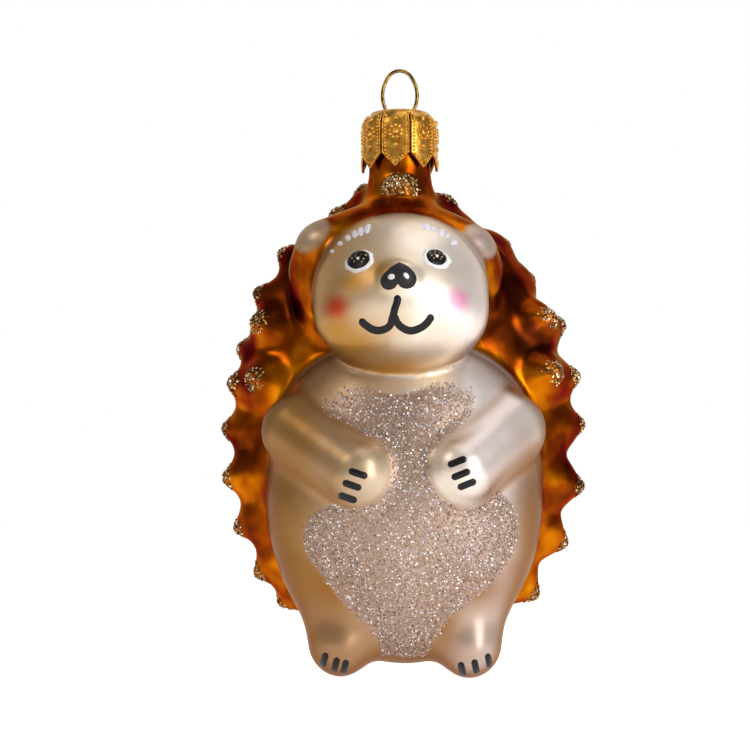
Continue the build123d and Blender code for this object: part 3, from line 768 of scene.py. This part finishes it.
# %% Enamels: thick smooth paint, so a small clear highlight and faint streaks of the brush
STREAK = 0.5


def enamel(name, low_hex, high_hex, roughness, shine):
    """Brushed enamel with slight streaks."""
    material, tree, output = new_material(name)
    streaks = add_node(
        tree, "ShaderNodeValToRGB", {0: mottle(tree, STREAK)}, [(0.35, low_hex), (0.65, high_hex)]
    )
    shader = add_node(
        tree, "ShaderNodeBsdfPrincipled",
        {"Base Color": streaks.outputs["Color"], "Roughness": roughness, "Specular IOR Level": shine},
    )
    tree.links.new(shader.outputs[0], output.inputs["Surface"])
    return material


black_paint = enamel("black_gloss_enamel", "#070606", "#141112", roughness=0.32, shine=0.25)
matte_black_paint = enamel("black_matte_enamel", "#151414", "#242222", roughness=0.5, shine=0.3)
white_paint = enamel("white_gloss_enamel", "#ECEAEC", "#FBFAFB", roughness=0.4, shine=0.5)
lavender_paint = enamel("pale_lavender_enamel", "#D8D4E8", "#F1EFF7", roughness=0.4, shine=0.5)
bronze_paint = enamel("bronze_speck_enamel", "#9A7A4A", "#D6B87C", roughness=0.35, shine=0.5)
print("materials so far:", len(bpy.data.materials))

# %% The eyes
def paint_piece(name, parts, material, nodes):
    """Joins painted marks into one piece on the ornament."""
    vertices, faces = join(parts)
    piece = new_piece(name, vertices, faces, material)
    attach(piece, "ornament")
    if nodes:
        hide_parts(*nodes)
    print(name + ":", len(faces), "faces")


EYES = [  # middle of the white and its half sizes, middle of the pupil and its half sizes, turn
    ((-6.95, -36.6), (2.45, 1.95), (-7.05, -36.35), (1.9, 1.58), 20.0),
    ((5.75, -36.15), (2.45, 1.75), (5.65, -36.0), (1.68, 1.36), -18.0),
]
WHITE_THICKNESS = 0.12
PUPIL_BASE = 0.1
PUPIL_THICKNESS = 0.2
whites = [dab(place, *half, turn, WHITE_THICKNESS, wobble=0.03) for place, half, _, _, turn in EYES]
paint_piece("eye_white_dabs", whites, white_paint, ["eye_whites"])
pupils = []
for _, _, place, half, turn in EYES:
    pupils.append(dab(place, *half, turn, PUPIL_THICKNESS, base=PUPIL_BASE, wobble=0.01))
paint_piece("pupil_dabs", pupils, black_paint, ["eye_pupils"])

SPECKS = 11
SPECK_TURN = 2.4  # radians from one speck to the next, so that no two line up
SPECK_SPREAD = 0.8  # share of the pupil that they reach
SPECK_RADIUS, SPECK_STEP = 0.11, 0.05  # the smallest of three sizes, and the step between them
SPECK_RAISE, SPECK_SQUASH = 0.2, 0.75  # how far up the pupil their cloud lies, and how flat it is
SPECK_SLIM, SPECK_LEAN = 0.7, 40  # height by width, and degrees from one speck to the next
SPECK_BASE = 0.26
SPECK_THICKNESS = 0.06
specks = []
for _, _, (middle_x, middle_z), (half_width, half_height), _ in EYES:
    for speck in range(SPECKS):
        turn = speck * SPECK_TURN
        out = SPECK_SPREAD * np.sqrt((speck + 0.5) / SPECKS)
        spot = (
            middle_x + half_width * out * cos(turn),
            middle_z + half_height * (SPECK_RAISE + SPECK_SQUASH * out * sin(turn)),
        )
        size = SPECK_RADIUS + SPECK_STEP * (speck % 3)
        specks.append(
            dab(spot, size, SPECK_SLIM * size, SPECK_LEAN * speck, SPECK_THICKNESS, SPECK_BASE, sides=8)
        )
paint_piece("pupil_specks", specks, bronze_paint, [])

# %% The nose and its glints
NOSE_MIDDLE = (-0.58, -39.5)
NOSE_OUTLINE = [
    (-0.45, -37.2), (-1.75, -38.0), (-3.05, -39.2), (-3.5, -40.4), (-3.05, -41.45), (-2.1, -41.8),
    (-1.2, -41.5), (-0.7, -40.95), (-0.2, -41.4), (0.8, -41.65), (1.9, -41.2), (2.35, -40.2),
    (2.1, -39.1), (0.9, -37.9),
]
NOSE_THICKNESS = 0.3
NOSE_GLINTS = [  # place, half sizes, turn and thickness
    ((-1.65, -39.75), 0.55, 0.45, 10, 0.1),
    ((0.6, -39.6), 0.55, 0.36, -50, 0.1),
]
NOSE_GLINT_BASE = 0.26
EYE_GLINT = (0.27, 0.24, 0, 0.08)
EYE_GLINT_BASE = 0.28
EYE_GLINT_RISE = 0.1  # above the middle of the pupil
nose_edge = smooth_path(NOSE_OUTLINE + NOSE_OUTLINE[:1], 4)[:-1]
nose = patch(NOSE_MIDDLE, nose_edge, NOSE_THICKNESS)
paint_piece("nose_dab", [nose], matte_black_paint, ["nose_enamel"])
glints = [dab(*glint, base=NOSE_GLINT_BASE) for glint in NOSE_GLINTS]
for _, _, (middle_x, middle_z), _, _ in EYES:
    glints.append(dab((middle_x, middle_z + EYE_GLINT_RISE), *EYE_GLINT, base=EYE_GLINT_BASE))
paint_piece("white_glints", glints, white_paint, ["nose_dabs"])

# %% The mouth and brows
MOUTH = [
    [(-0.75, -42.6), (-0.8, -43.65), (-1.15, -44.7), (-1.55, -46.2)],
    [(-1.45, -45.6), (-1.95, -47.4), (-3.25, -48.1), (-4.55, -48.05), (-5.85, -47.3), (-6.85, -46.35)],
    [(-1.4, -45.6), (-0.55, -47.3), (1.1, -48.2), (2.7, -47.9), (4.0, -47.0), (4.95, -45.65)],
]
MOUTH_WIDTH = 1.2
MOUTH_THICKNESS = 0.22
mouth = [stroke(places, MOUTH_WIDTH, MOUTH_THICKNESS) for places in MOUTH]
paint_piece("mouth_strokes", mouth, black_paint, ["mouth_enamel"])

BROWS = [  # across, height, length and width of each dab, for each eye
    [
        (-11.55, -34.1, 0.8, 0.75), (-10.2, -32.85, 1.1, 0.85), (-8.85, -32.0, 1.3, 0.95),
        (-7.7, -31.45, 1.5, 0.95), (-6.7, -31.05, 1.8, 1.0), (-5.55, -30.6, 2.0, 1.05),
    ],
    [
        (4.2, -30.4, 1.6, 1.3), (5.35, -30.7, 1.1, 0.8), (6.75, -31.35, 1.6, 1.05),
        (7.75, -31.8, 0.9, 0.75), (8.75, -33.0, 1.2, 1.05),
    ],
]
BROW_THICKNESS = 0.16
brows = []
for marks, eye in zip(BROWS, EYES):
    for across, height, length, width in marks:
        away = np.array([across - eye[0][0], height - eye[0][1]])
        away = away / np.linalg.norm(away) * length / 2
        ends = [(across - away[0], height - away[1]), (across + away[0], height + away[1])]
        brows.append(stroke(ends, width, BROW_THICKNESS))
paint_piece("brow_strokes", brows, lavender_paint, ["brow_dabs"])

# %% The claws
PAW_CLAW = (3.2, 1.15)  # length and width
FOOT_CLAW = (2.7, 1.1)
CLAW_THICKNESS = 0.2
PAW_CLAWS = [  # places of the strokes on each paw, and their turn in degrees
    ([(-7.1, -71.3), (-8.1, -73.2), (-8.85, -75.2)], -19),
    ([(8.9, -69.4), (9.5, -71.45), (10.5, -73.05)], 22),
]
FOOT_CLAWS = [
    ([(-12.8, -102.0), (-10.9, -102.75), (-9.4, -103.15)], 76),
    ([(10.05, -103.55), (12.25, -103.05), (14.5, -102.15)], 104),
]


def claws(limbs, length, width):
    """Short strokes side by side, those on one paw or foot all leaning one way."""
    strokes = []
    for places, turn in limbs:
        lean = np.array([cos(radians(turn)), sin(radians(turn))]) * length / 2
        for place in np.array(places):
            strokes.append(stroke([place - lean, place + lean], width, CLAW_THICKNESS, steps=16))
    return strokes


paw_claws = claws(PAW_CLAWS, *PAW_CLAW)
paint_piece("paw_claw_strokes", paw_claws, black_paint, ["paw_claws"])
foot_claws = claws(FOOT_CLAWS, *FOOT_CLAW)
paint_piece("foot_claw_strokes", foot_claws, black_paint, ["foot_claws"])

# %% [markdown]
# ## Glitter in glue
# Glitter is cut from film into tiny hexagons. A brush of clear glue holds them at every angle, so each one
# catches a different light. A speckled texture would lie flat and glint all at once, so Geometry Nodes
# scatters thin hexagons where the glue layer is painted, tilts each at random and keeps a random tint for
# the material.

# %% A tree that scatters flakes
FLAKE_SIZES = ("Flakes per square metre", "Flake width", "Flake thickness", "Tilt")
FLAKE_SIDES = 6
SMALL_FLAKE, LARGE_FLAKE = 0.65, 1.2  # shares of the flake width
TILT_SEEDS = (11, 12)
SIZE_SEED = 5
TINT_SEED = 23


def flake_tree(name, material):
    """Geometry Nodes: hexagon flakes over a mesh, thicker where its glue layer is higher."""
    tree = bpy.data.node_groups.new(name, "GeometryNodeTree")
    sockets = tree.interface
    sockets.new_socket("Geometry", in_out="INPUT", socket_type="NodeSocketGeometry")
    for label in FLAKE_SIZES:
        sockets.new_socket(label, in_out="INPUT", socket_type="NodeSocketFloat")
    sockets.new_socket("Glue layer", in_out="INPUT", socket_type="NodeSocketString")
    sockets.new_socket("Seed", in_out="INPUT", socket_type="NodeSocketInt")
    sockets.new_socket("Geometry", in_out="OUTPUT", socket_type="NodeSocketGeometry")
    given = add_node(tree, "NodeGroupInput").outputs
    glue = add_node(
        tree, "GeometryNodeInputNamedAttribute", {"Name": given["Glue layer"]}, data_type="FLOAT"
    )
    density = add_node(
        tree, "ShaderNodeMath",
        {0: glue.outputs["Attribute"], 1: given["Flakes per square metre"]}, operation="MULTIPLY",
    )
    spots = add_node(
        tree, "GeometryNodeDistributePointsOnFaces",
        {"Mesh": given["Geometry"], "Density": density.outputs[0], "Seed": given["Seed"]},
    )
    radius = add_node(tree, "ShaderNodeMath", {0: given["Flake width"], 1: 0.5}, operation="MULTIPLY")
    flake = add_node(
        tree, "GeometryNodeMeshCylinder",
        {"Vertices": FLAKE_SIDES, "Radius": radius.outputs[0], "Depth": given["Flake thickness"]},
    )
    flat_flake = add_node(
        tree, "GeometryNodeSetShadeSmooth", {"Geometry": flake.outputs["Mesh"], "Shade Smooth": False}
    )
    back_tilt = add_node(tree, "ShaderNodeMath", {0: given["Tilt"], 1: -1.0}, operation="MULTIPLY")
    tilt = []
    for seed in TILT_SEEDS:
        random = add_node(
            tree, "FunctionNodeRandomValue",
            {"Min": back_tilt.outputs[0], "Max": given["Tilt"], "Seed": seed}, data_type="FLOAT",
        )
        tilt.append(random.outputs["Value"])
    angles = add_node(tree, "ShaderNodeCombineXYZ", {0: tilt[0], 1: tilt[1]})
    turn = add_node(tree, "FunctionNodeEulerToRotation", {0: angles.outputs[0]})
    leaning = add_node(
        tree, "FunctionNodeRotateRotation",
        {"Rotation": spots.outputs["Rotation"], "Rotate By": turn.outputs[0]}, rotation_space="LOCAL",
    )
    size = add_node(
        tree, "FunctionNodeRandomValue",
        {"Min": SMALL_FLAKE, "Max": LARGE_FLAKE, "Seed": SIZE_SEED}, data_type="FLOAT",
    )
    copies = add_node(
        tree, "GeometryNodeInstanceOnPoints",
        {
            "Points": spots.outputs["Points"], "Instance": flat_flake.outputs[0],
            "Rotation": leaning.outputs[0], "Scale": size.outputs["Value"],
        },
    )
    tint = add_node(tree, "FunctionNodeRandomValue", {"Seed": TINT_SEED}, data_type="FLOAT")
    tinted = add_node(
        tree, "GeometryNodeStoreNamedAttribute",
        {"Geometry": copies.outputs[0], "Name": "tint", "Value": tint.outputs["Value"]},
        data_type="FLOAT", domain="INSTANCE",
    )
    real = add_node(tree, "GeometryNodeRealizeInstances", {"Geometry": tinted.outputs[0]})
    made = add_node(tree, "GeometryNodeSetMaterial", {"Geometry": real.outputs[0], "Material": material})
    add_node(tree, "NodeGroupOutput", {0: made.outputs[0]})
    return tree


print("sizes that each coat sets:", ", ".join(FLAKE_SIZES))

# %% Glitter films: metal-coated plastic, so each flake is a small hard mirror of its own tint
def glitter_film(name, stops, metallic, roughness):
    """Metal-coated film, a different tint on each flake."""
    material, tree, output = new_material(name)
    tint = add_node(tree, "ShaderNodeAttribute", attribute_name="tint").outputs["Fac"]
    colour = add_node(tree, "ShaderNodeValToRGB", {0: tint}, stops).outputs["Color"]
    shader = add_node(
        tree, "ShaderNodeBsdfPrincipled",
        {"Base Color": colour, "Metallic": metallic, "Roughness": roughness},
    )
    tree.links.new(shader.outputs[0], output.inputs["Surface"])
    return material


pale_film = glitter_film(
    "iridescent_white_film",
    [
        (0.0, "#6A5444"), (0.06, "#9C8270"), (0.45, "#AE9484"), (0.78, "#BEA89C"),
        (0.82, "#FFFFFF"), (0.92, "#FFFFFF"), (0.95, "#B4C2DC"), (1.0, "#D8B4C6"),
    ],
    metallic=0.4, roughness=0.35,
)
bronze_film = glitter_film(
    "bronze_gold_film",
    [(0.0, "#3A2408"), (0.3, "#7A5320"), (0.6, "#B58A40"), (0.85, "#E2CFA0"), (1.0, "#FAF2E2")],
    metallic=0.7, roughness=0.28,
)
print("films:", pale_film.name, "and", bronze_film.name)

# %% Coats of flakes on the glue
LEAST_GLUE = 0.05
FLAKE_LIFT = 0.06
FLAKE_THICKNESS = 0.05


def run_tree(piece, tree, values):
    """Runs a Geometry Nodes tree on a piece and keeps the result as its plain mesh."""
    modifier = piece.modifiers.new(tree.name, "NODES")
    modifier.node_group = tree
    for item in tree.interface.items_tree:
        if item.in_out == "INPUT" and item.name in values:
            modifier[item.identifier] = values[item.name]
    evaluated = piece.evaluated_get(bpy.context.evaluated_depsgraph_get())
    mesh = bpy.data.meshes.new_from_object(evaluated)
    piece.modifiers.clear()
    piece.data = mesh


def glitter_coat(name, layer, film, per_square_mm, width_mm, tilt_deg, seed, nodes):
    """A coat of flakes on the painted part of the skin."""
    level = layers[layer]
    kept = [quad for quad in skin_quads.tolist() if max(level[i] for i in quad) > LEAST_GLUE]
    used = sorted({i for quad in kept for i in quad})
    new_index = {old: new for new, old in enumerate(used)}
    faces = [tuple(new_index[i] for i in quad) for quad in kept]
    lifted = skin_points[used] + FLAKE_LIFT * skin_normals[used]
    coat = new_piece(name, lifted * MM, faces, film)
    glue = coat.data.attributes.new(layer, "FLOAT", "POINT")
    glue.data.foreach_set("value", level[used].astype(np.float32))
    run_tree(coat, flake_tree(name + "_tree", film), {
        "Flakes per square metre": per_square_mm / MM**2,
        "Flake width": width_mm * MM,
        "Flake thickness": FLAKE_THICKNESS * MM,
        "Tilt": radians(tilt_deg),
        "Glue layer": layer,
        "Seed": seed,
    })
    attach(coat, "ornament")
    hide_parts(*nodes)
    print(name + ":", len(coat.data.polygons), "faces")


glitter_coat(
    "belly_flakes", "belly_glue", pale_film, per_square_mm=8.5, width_mm=0.3, tilt_deg=30, seed=3,
    nodes=["belly_glitter"],
)
glitter_coat(
    "spine_flakes", "tip_glue", bronze_film, per_square_mm=7.0, width_mm=0.4, tilt_deg=40, seed=4,
    nodes=["spine_glitter"],
)
glitter_coat(
    "bead_flakes", "bead_glue", bronze_film, per_square_mm=12.0, width_mm=0.38, tilt_deg=40, seed=6,
    nodes=["bead_glitter"],
)

# %% [markdown]
# ## The stamped cap and the wire
# The cap is thin brass, punched and pressed in one blow. The CAD cup already has its tongues and the CAD
# wire its bends, so both stay and get a finish, and only the pressed pattern is added: beaded borders, a
# rosette and two studs. Bump alone would vanish at the edges, so each stud is a small mesh. One tongue is
# modelled, and Geometry Nodes turns eight copies round the neck.

# %% The cap as the frame gives it
cap_low, cap_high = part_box("crown_cap")
CAP_RADIUS = cap_high[0] / MM
CAP_TOP = cap_high[2] / MM
CAP_TIP = cap_low[2] / MM
CAP_SHOULDER = 3.2
TONGUES = 8
FIRST_TONGUE = -7.5  # degrees from the front to the middle of one tongue, towards -X
SLIT_HALF = 0.12
TONGUE_HALF = pi * CAP_RADIUS / TONGUES - SLIT_HALF
TONGUE_POINT = 2.6


def on_cap(along, height):
    """Point and outward direction on the cap, by the run round it and the height, in millimetres."""
    level = height - (CAP_TOP - CAP_SHOULDER)
    lean = np.arcsin(np.clip(level / CAP_SHOULDER, 0, 1))
    radius = CAP_RADIUS - CAP_SHOULDER + CAP_SHOULDER * cos(lean)
    angle = along / CAP_RADIUS + radians(FIRST_TONGUE)
    outward = np.array([sin(angle) * cos(lean), -cos(angle) * cos(lean), sin(lean)])
    return np.array([radius * sin(angle), -radius * cos(angle), height]), outward


print("cap in mm: radius", round(CAP_RADIUS, 2), "from", round(CAP_TIP, 2), "to", round(CAP_TOP, 2))

# %% Pressed studs
def stud(along, height, radius, lift, sides=8, rings=4):
    """A pressed stud: a flattened ball half sunk in the sheet."""
    middle, outward = on_cap(along, height)
    side = np.cross(outward, (0, 0, 1))
    side = side / np.linalg.norm(side)
    up = np.cross(side, outward)
    vertices = [middle - outward * lift]
    for ring in range(1, rings):
        polar = pi * ring / rings
        for step in range(sides):
            turn = 2 * pi * step / sides
            flat = radius * sin(polar) * (cos(turn) * side + sin(turn) * up)
            vertices.append(middle + flat - outward * lift * cos(polar))
    vertices.append(middle + outward * lift)
    faces = []
    last = len(vertices) - 1
    for step in range(sides):
        after = (step + 1) % sides
        faces.append((0, 1 + after, 1 + step))
        for ring in range(rings - 2):
            a = 1 + ring * sides
            faces.append((a + step, a + after, a + sides + after, a + sides + step))
        a = 1 + (rings - 2) * sides
        faces.append((a + step, a + after, last))
    return [v * MM for v in vertices], faces


def stud_row(start, end, radius, lift, spacing):
    """Studs in a row from one place to another."""
    start, end = np.array(start), np.array(end)
    count = max(int(np.linalg.norm(end - start) / spacing), 1)
    return [stud(*(start + (end - start) * (i + 0.5) / count), radius, lift) for i in range(count)]


print("faces of a stud:", len(stud(0, CAP_TOP - CAP_SHOULDER, 0.3, 0.3)[1]))

# %% The pattern of one tongue
FINE_BEADS = (0.15, 0.22, 0.16)  # radius, lift and spacing
BEADS = (0.27, 0.3, 0.56)
TOP_BEADS = (0.2, 0.2, 0.5)
FINE_INSET, FINE_DROP, FINE_TIP = 0.15, 1.0, 0.2  # in from the side, below the top, above the point
BEAD_INSET, BEAD_DROP, BEAD_TIP = 0.62, 1.3, 0.9
BEAD_GAP = 0.1
TOP_DROP = 0.45
STUDS = [(2.0, 0.48, 0.42), (6.75, 0.42, 0.36), (4.45, 0.6, 0.34)]  # drop, radius, lift; the rosette last
PETALS = 9
PETAL_RING = 1.08
PETAL = (0.33, 0.32)  # radius and lift


def tongue_pattern():
    """Everything pressed into one tongue."""
    edge = TONGUE_HALF - FINE_INSET
    inner = TONGUE_HALF - BEAD_INSET
    valley = CAP_TIP + TONGUE_POINT
    parts = []
    for side in (-1, 1):
        parts += stud_row((side * edge, CAP_TOP - FINE_DROP), (side * edge, valley), *FINE_BEADS)
        parts += stud_row((side * edge, valley), (0, CAP_TIP + FINE_TIP), *FINE_BEADS)
        parts += stud_row((side * inner, CAP_TOP - BEAD_DROP), (side * inner, valley + BEAD_GAP), *BEADS)
        parts += stud_row((side * inner, valley - BEAD_GAP), (side * BEAD_GAP, CAP_TIP + BEAD_TIP), *BEADS)
    parts += stud_row((-TONGUE_HALF, CAP_TOP - TOP_DROP), (TONGUE_HALF, CAP_TOP - TOP_DROP), *TOP_BEADS)
    for drop, radius, lift in STUDS:
        parts.append(stud(0, CAP_TOP - drop, radius, lift))
    rosette = CAP_TOP - STUDS[-1][0]
    for petal in range(PETALS):
        turn = 2 * pi * petal / PETALS
        parts.append(stud(PETAL_RING * sin(turn), rosette + PETAL_RING * cos(turn), *PETAL))
    return join(parts)


tongue = tongue_pattern()
print("faces on one tongue:", len(tongue[1]))

# %% Brass: bright plating that mottles as it ages, on sheet pressed in a die and on drawn wire
GRAIN_HEIGHT = 0.05


def brass(name, dark_hex, light_hex, roughness, grain_mm, bump_strength):
    """Gold-coloured metal with the faint mottling of its plating."""
    material, tree, output = new_material(name)
    grain = mottle(tree, grain_mm, detail=3.0)
    colour = add_node(tree, "ShaderNodeValToRGB", {0: grain}, [(0.35, dark_hex), (0.65, light_hex)])
    bump = add_node(
        tree, "ShaderNodeBump", {"Height": grain, "Strength": bump_strength, "Distance": GRAIN_HEIGHT * MM}
    )
    shader = add_node(
        tree, "ShaderNodeBsdfPrincipled",
        {
            "Base Color": colour.outputs["Color"], "Metallic": 1.0,
            "Roughness": roughness, "Normal": bump.outputs[0],
        },
    )
    tree.links.new(shader.outputs[0], output.inputs["Surface"])
    return material


cap_brass = brass(
    "stamped_gold_brass", "#B87C24", "#E4B052", roughness=0.3, grain_mm=0.9, bump_strength=0.25
)
wire_brass = brass(
    "drawn_brass_wire", "#6A5220", "#A58240", roughness=0.22, grain_mm=0.8, bump_strength=0.05
)
print("finishes:", cap_brass.name, "and", wire_brass.name)

# %% Eight tongues from one
def round_tree(name, material):
    """Geometry Nodes: copies of a piece turned evenly round the Z axis."""
    tree = bpy.data.node_groups.new(name, "GeometryNodeTree")
    tree.interface.new_socket("Geometry", in_out="INPUT", socket_type="NodeSocketGeometry")
    tree.interface.new_socket("Copies", in_out="INPUT", socket_type="NodeSocketInt")
    tree.interface.new_socket("Geometry", in_out="OUTPUT", socket_type="NodeSocketGeometry")
    given = add_node(tree, "NodeGroupInput").outputs
    spots = add_node(tree, "GeometryNodePoints", {"Count": given["Copies"]})
    step = add_node(tree, "ShaderNodeMath", {0: 2 * pi, 1: given["Copies"]}, operation="DIVIDE")
    index = add_node(tree, "GeometryNodeInputIndex")
    angle = add_node(
        tree, "ShaderNodeMath", {0: index.outputs[0], 1: step.outputs[0]}, operation="MULTIPLY"
    )
    turn = add_node(tree, "FunctionNodeAxisAngleToRotation", {"Axis": (0, 0, 1), "Angle": angle.outputs[0]})
    copies = add_node(
        tree, "GeometryNodeInstanceOnPoints",
        {"Points": spots.outputs[0], "Instance": given["Geometry"], "Rotation": turn.outputs[0]},
    )
    real = add_node(tree, "GeometryNodeRealizeInstances", {"Geometry": copies.outputs[0]})
    made = add_node(tree, "GeometryNodeSetMaterial", {"Geometry": real.outputs[0], "Material": material})
    add_node(tree, "NodeGroupOutput", {0: made.outputs[0]})
    return tree


cap_pattern = new_piece("cap_pattern", *tongue, cap_brass)
run_tree(cap_pattern, round_tree("tongues_round_the_neck", cap_brass), {"Copies": TONGUES})
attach(cap_pattern, "cap")
for node_name, finish in (("crown_cap", cap_brass), ("wire_hanger", wire_brass)):
    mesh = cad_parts[node_name].data
    mesh.materials.clear()
    mesh.materials.append(finish)
print("cap pattern:", len(cap_pattern.data.polygons), "faces")

# %% [markdown]
# ## Studio
# The photograph is a cut-out on white. A paper floor and a white backdrop give the same, without more light
# on the object: camera rays see them white, and so do mirror rays, which meet the backdrop behind the
# object only. In front they meet a grey room, brighter towards the horizon, because a mirror needs
# something dark to look like metal. To all other rays the floor is matte paper, and it keeps the shadow.
# A tall window stands in front at the right, as the long highlights on cheek and paw show, with a small
# weak one at the upper left and a broad one overhead. The camera has a long lens and stands a little
# below the middle, looking up.

# %% Paper floor
FLOOR_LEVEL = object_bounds()[0][2]
PAPER_FIBRE = 3.0
PAPER_GLOW = 0.9
SWEEP = 3.0

floor_paint, tree, output = new_material("white_paper_floor")
paper = add_node(
    tree, "ShaderNodeValToRGB", {0: mottle(tree, PAPER_FIBRE)}, [(0.3, "#F4F4F4"), (0.7, "#F8F8F8")]
)
matte = add_node(tree, "ShaderNodeBsdfDiffuse", {"Color": paper.outputs["Color"]})
glow = add_node(tree, "ShaderNodeEmission", {"Color": linear("#FFFFFF"), "Strength": PAPER_GLOW})
lit_and_glowing = add_node(tree, "ShaderNodeAddShader", {0: matte.outputs[0], 1: glow.outputs[0]})
path = add_node(tree, "ShaderNodeLightPath").outputs
plain = path["Is Camera Ray"]
for ray in ("Is Glossy Ray", "Is Transmission Ray"):
    plain = add_node(tree, "ShaderNodeMath", {0: plain, 1: path[ray]}, operation="MAXIMUM").outputs[0]
paper_seen = add_node(
    tree, "ShaderNodeMixShader", {0: plain, 1: matte.outputs[0], 2: lit_and_glowing.outputs[0]}
)
tree.links.new(paper_seen.outputs[0], output.inputs["Surface"])
sheet = [(x * SWEEP, y * SWEEP, FLOOR_LEVEL) for x, y in ((-1, -1), (1, -1), (1, 1), (-1, 1))]
floor = new_piece("paper_floor", sheet, [(0, 1, 2, 3)], floor_paint)
print("floor level in mm:", round(FLOOR_LEVEL / MM, 2))

# %% The room and the white backdrop
world = bpy.data.worlds.new("studio")
bpy.context.scene.world = world
world.use_nodes = True
tree = world.node_tree
tree.nodes.clear()
direction = add_node(tree, "ShaderNodeTexCoord").outputs["Generated"]
way = add_node(tree, "ShaderNodeSeparateXYZ", {0: direction})
dusk = add_node(
    tree, "ShaderNodeMapRange",
    {"Value": way.outputs["Z"], "From Min": 0.0, "From Max": 0.6, "To Min": 0.65, "To Max": 0.32},
)
room = add_node(tree, "ShaderNodeBackground", {"Color": linear("#DCD9D6"), "Strength": dusk.outputs[0]})
white = add_node(tree, "ShaderNodeBackground", {"Color": linear("#FFFFFF"), "Strength": 1.0})
behind = add_node(
    tree, "ShaderNodeMapRange", {"Value": way.outputs["Y"], "From Min": 0.35, "From Max": 0.75}
)
path = add_node(tree, "ShaderNodeLightPath").outputs
mirrored = add_node(
    tree, "ShaderNodeMath", {0: path["Is Glossy Ray"], 1: path["Is Transmission Ray"]}, operation="MAXIMUM"
)
backdrop = add_node(
    tree, "ShaderNodeMath", {0: mirrored.outputs[0], 1: behind.outputs[0]}, operation="MULTIPLY"
)
seen = add_node(
    tree, "ShaderNodeMath", {0: path["Is Camera Ray"], 1: backdrop.outputs[0]}, operation="MAXIMUM"
)
sky = add_node(tree, "ShaderNodeMixShader", {0: seen.outputs[0], 1: room.outputs[0], 2: white.outputs[0]})
add_node(tree, "ShaderNodeOutputWorld", {"Surface": sky.outputs[0]})
print("nodes in the room:", len(tree.nodes))

# %% Three windows
MIDDLE = (0, 0, -60)


def softbox(name, place, width, height, watts, hex_code):
    """A large soft lamp, placed in millimetres and aimed at the middle of the object."""
    data = bpy.data.lights.new(name, "AREA")
    data.shape = "RECTANGLE"
    data.size, data.size_y = width * MM, height * MM
    data.energy = watts
    data.color = linear(hex_code)[:3]
    lamp = bpy.data.objects.new(name, data)
    lamp.location = Vector(place) * MM
    lamp.rotation_euler = (Vector(MIDDLE) - Vector(place)).to_track_quat("-Z", "Y").to_euler()
    bpy.context.scene.collection.objects.link(lamp)


softbox("window_right", (240, -280, 40), width=120, height=300, watts=0.8, hex_code="#FFFFFF")
softbox("window_left", (-230, -170, 190), width=130, height=130, watts=0.22, hex_code="#FFF6EA")
softbox("window_above", (70, -20, 270), width=340, height=180, watts=0.25, hex_code="#FFFFFF")
print("lamps:", ", ".join(light.name for light in bpy.data.lights))

# %% Camera
SENSOR = 36.0
LENS = 93.26
AIM = Vector((-4.375, 0.0, -53.6)) * MM
CAMERA_DISTANCE = 340 * MM
CAMERA_LIFT = radians(-4.0)
camera_data = bpy.data.cameras.new("camera")
camera_data.sensor_width = SENSOR
camera_data.lens = LENS
camera = bpy.data.objects.new("camera", camera_data)
camera.location = AIM + CAMERA_DISTANCE * Vector((0, -cos(CAMERA_LIFT), sin(CAMERA_LIFT)))
camera.rotation_euler = (AIM - camera.location).to_track_quat("-Z", "Y").to_euler()
bpy.context.scene.collection.objects.link(camera)
bpy.context.scene.camera = camera
bpy.context.scene.view_settings.view_transform = "Standard"
print("camera in mm:", [round(v / MM, 1) for v in camera.location])
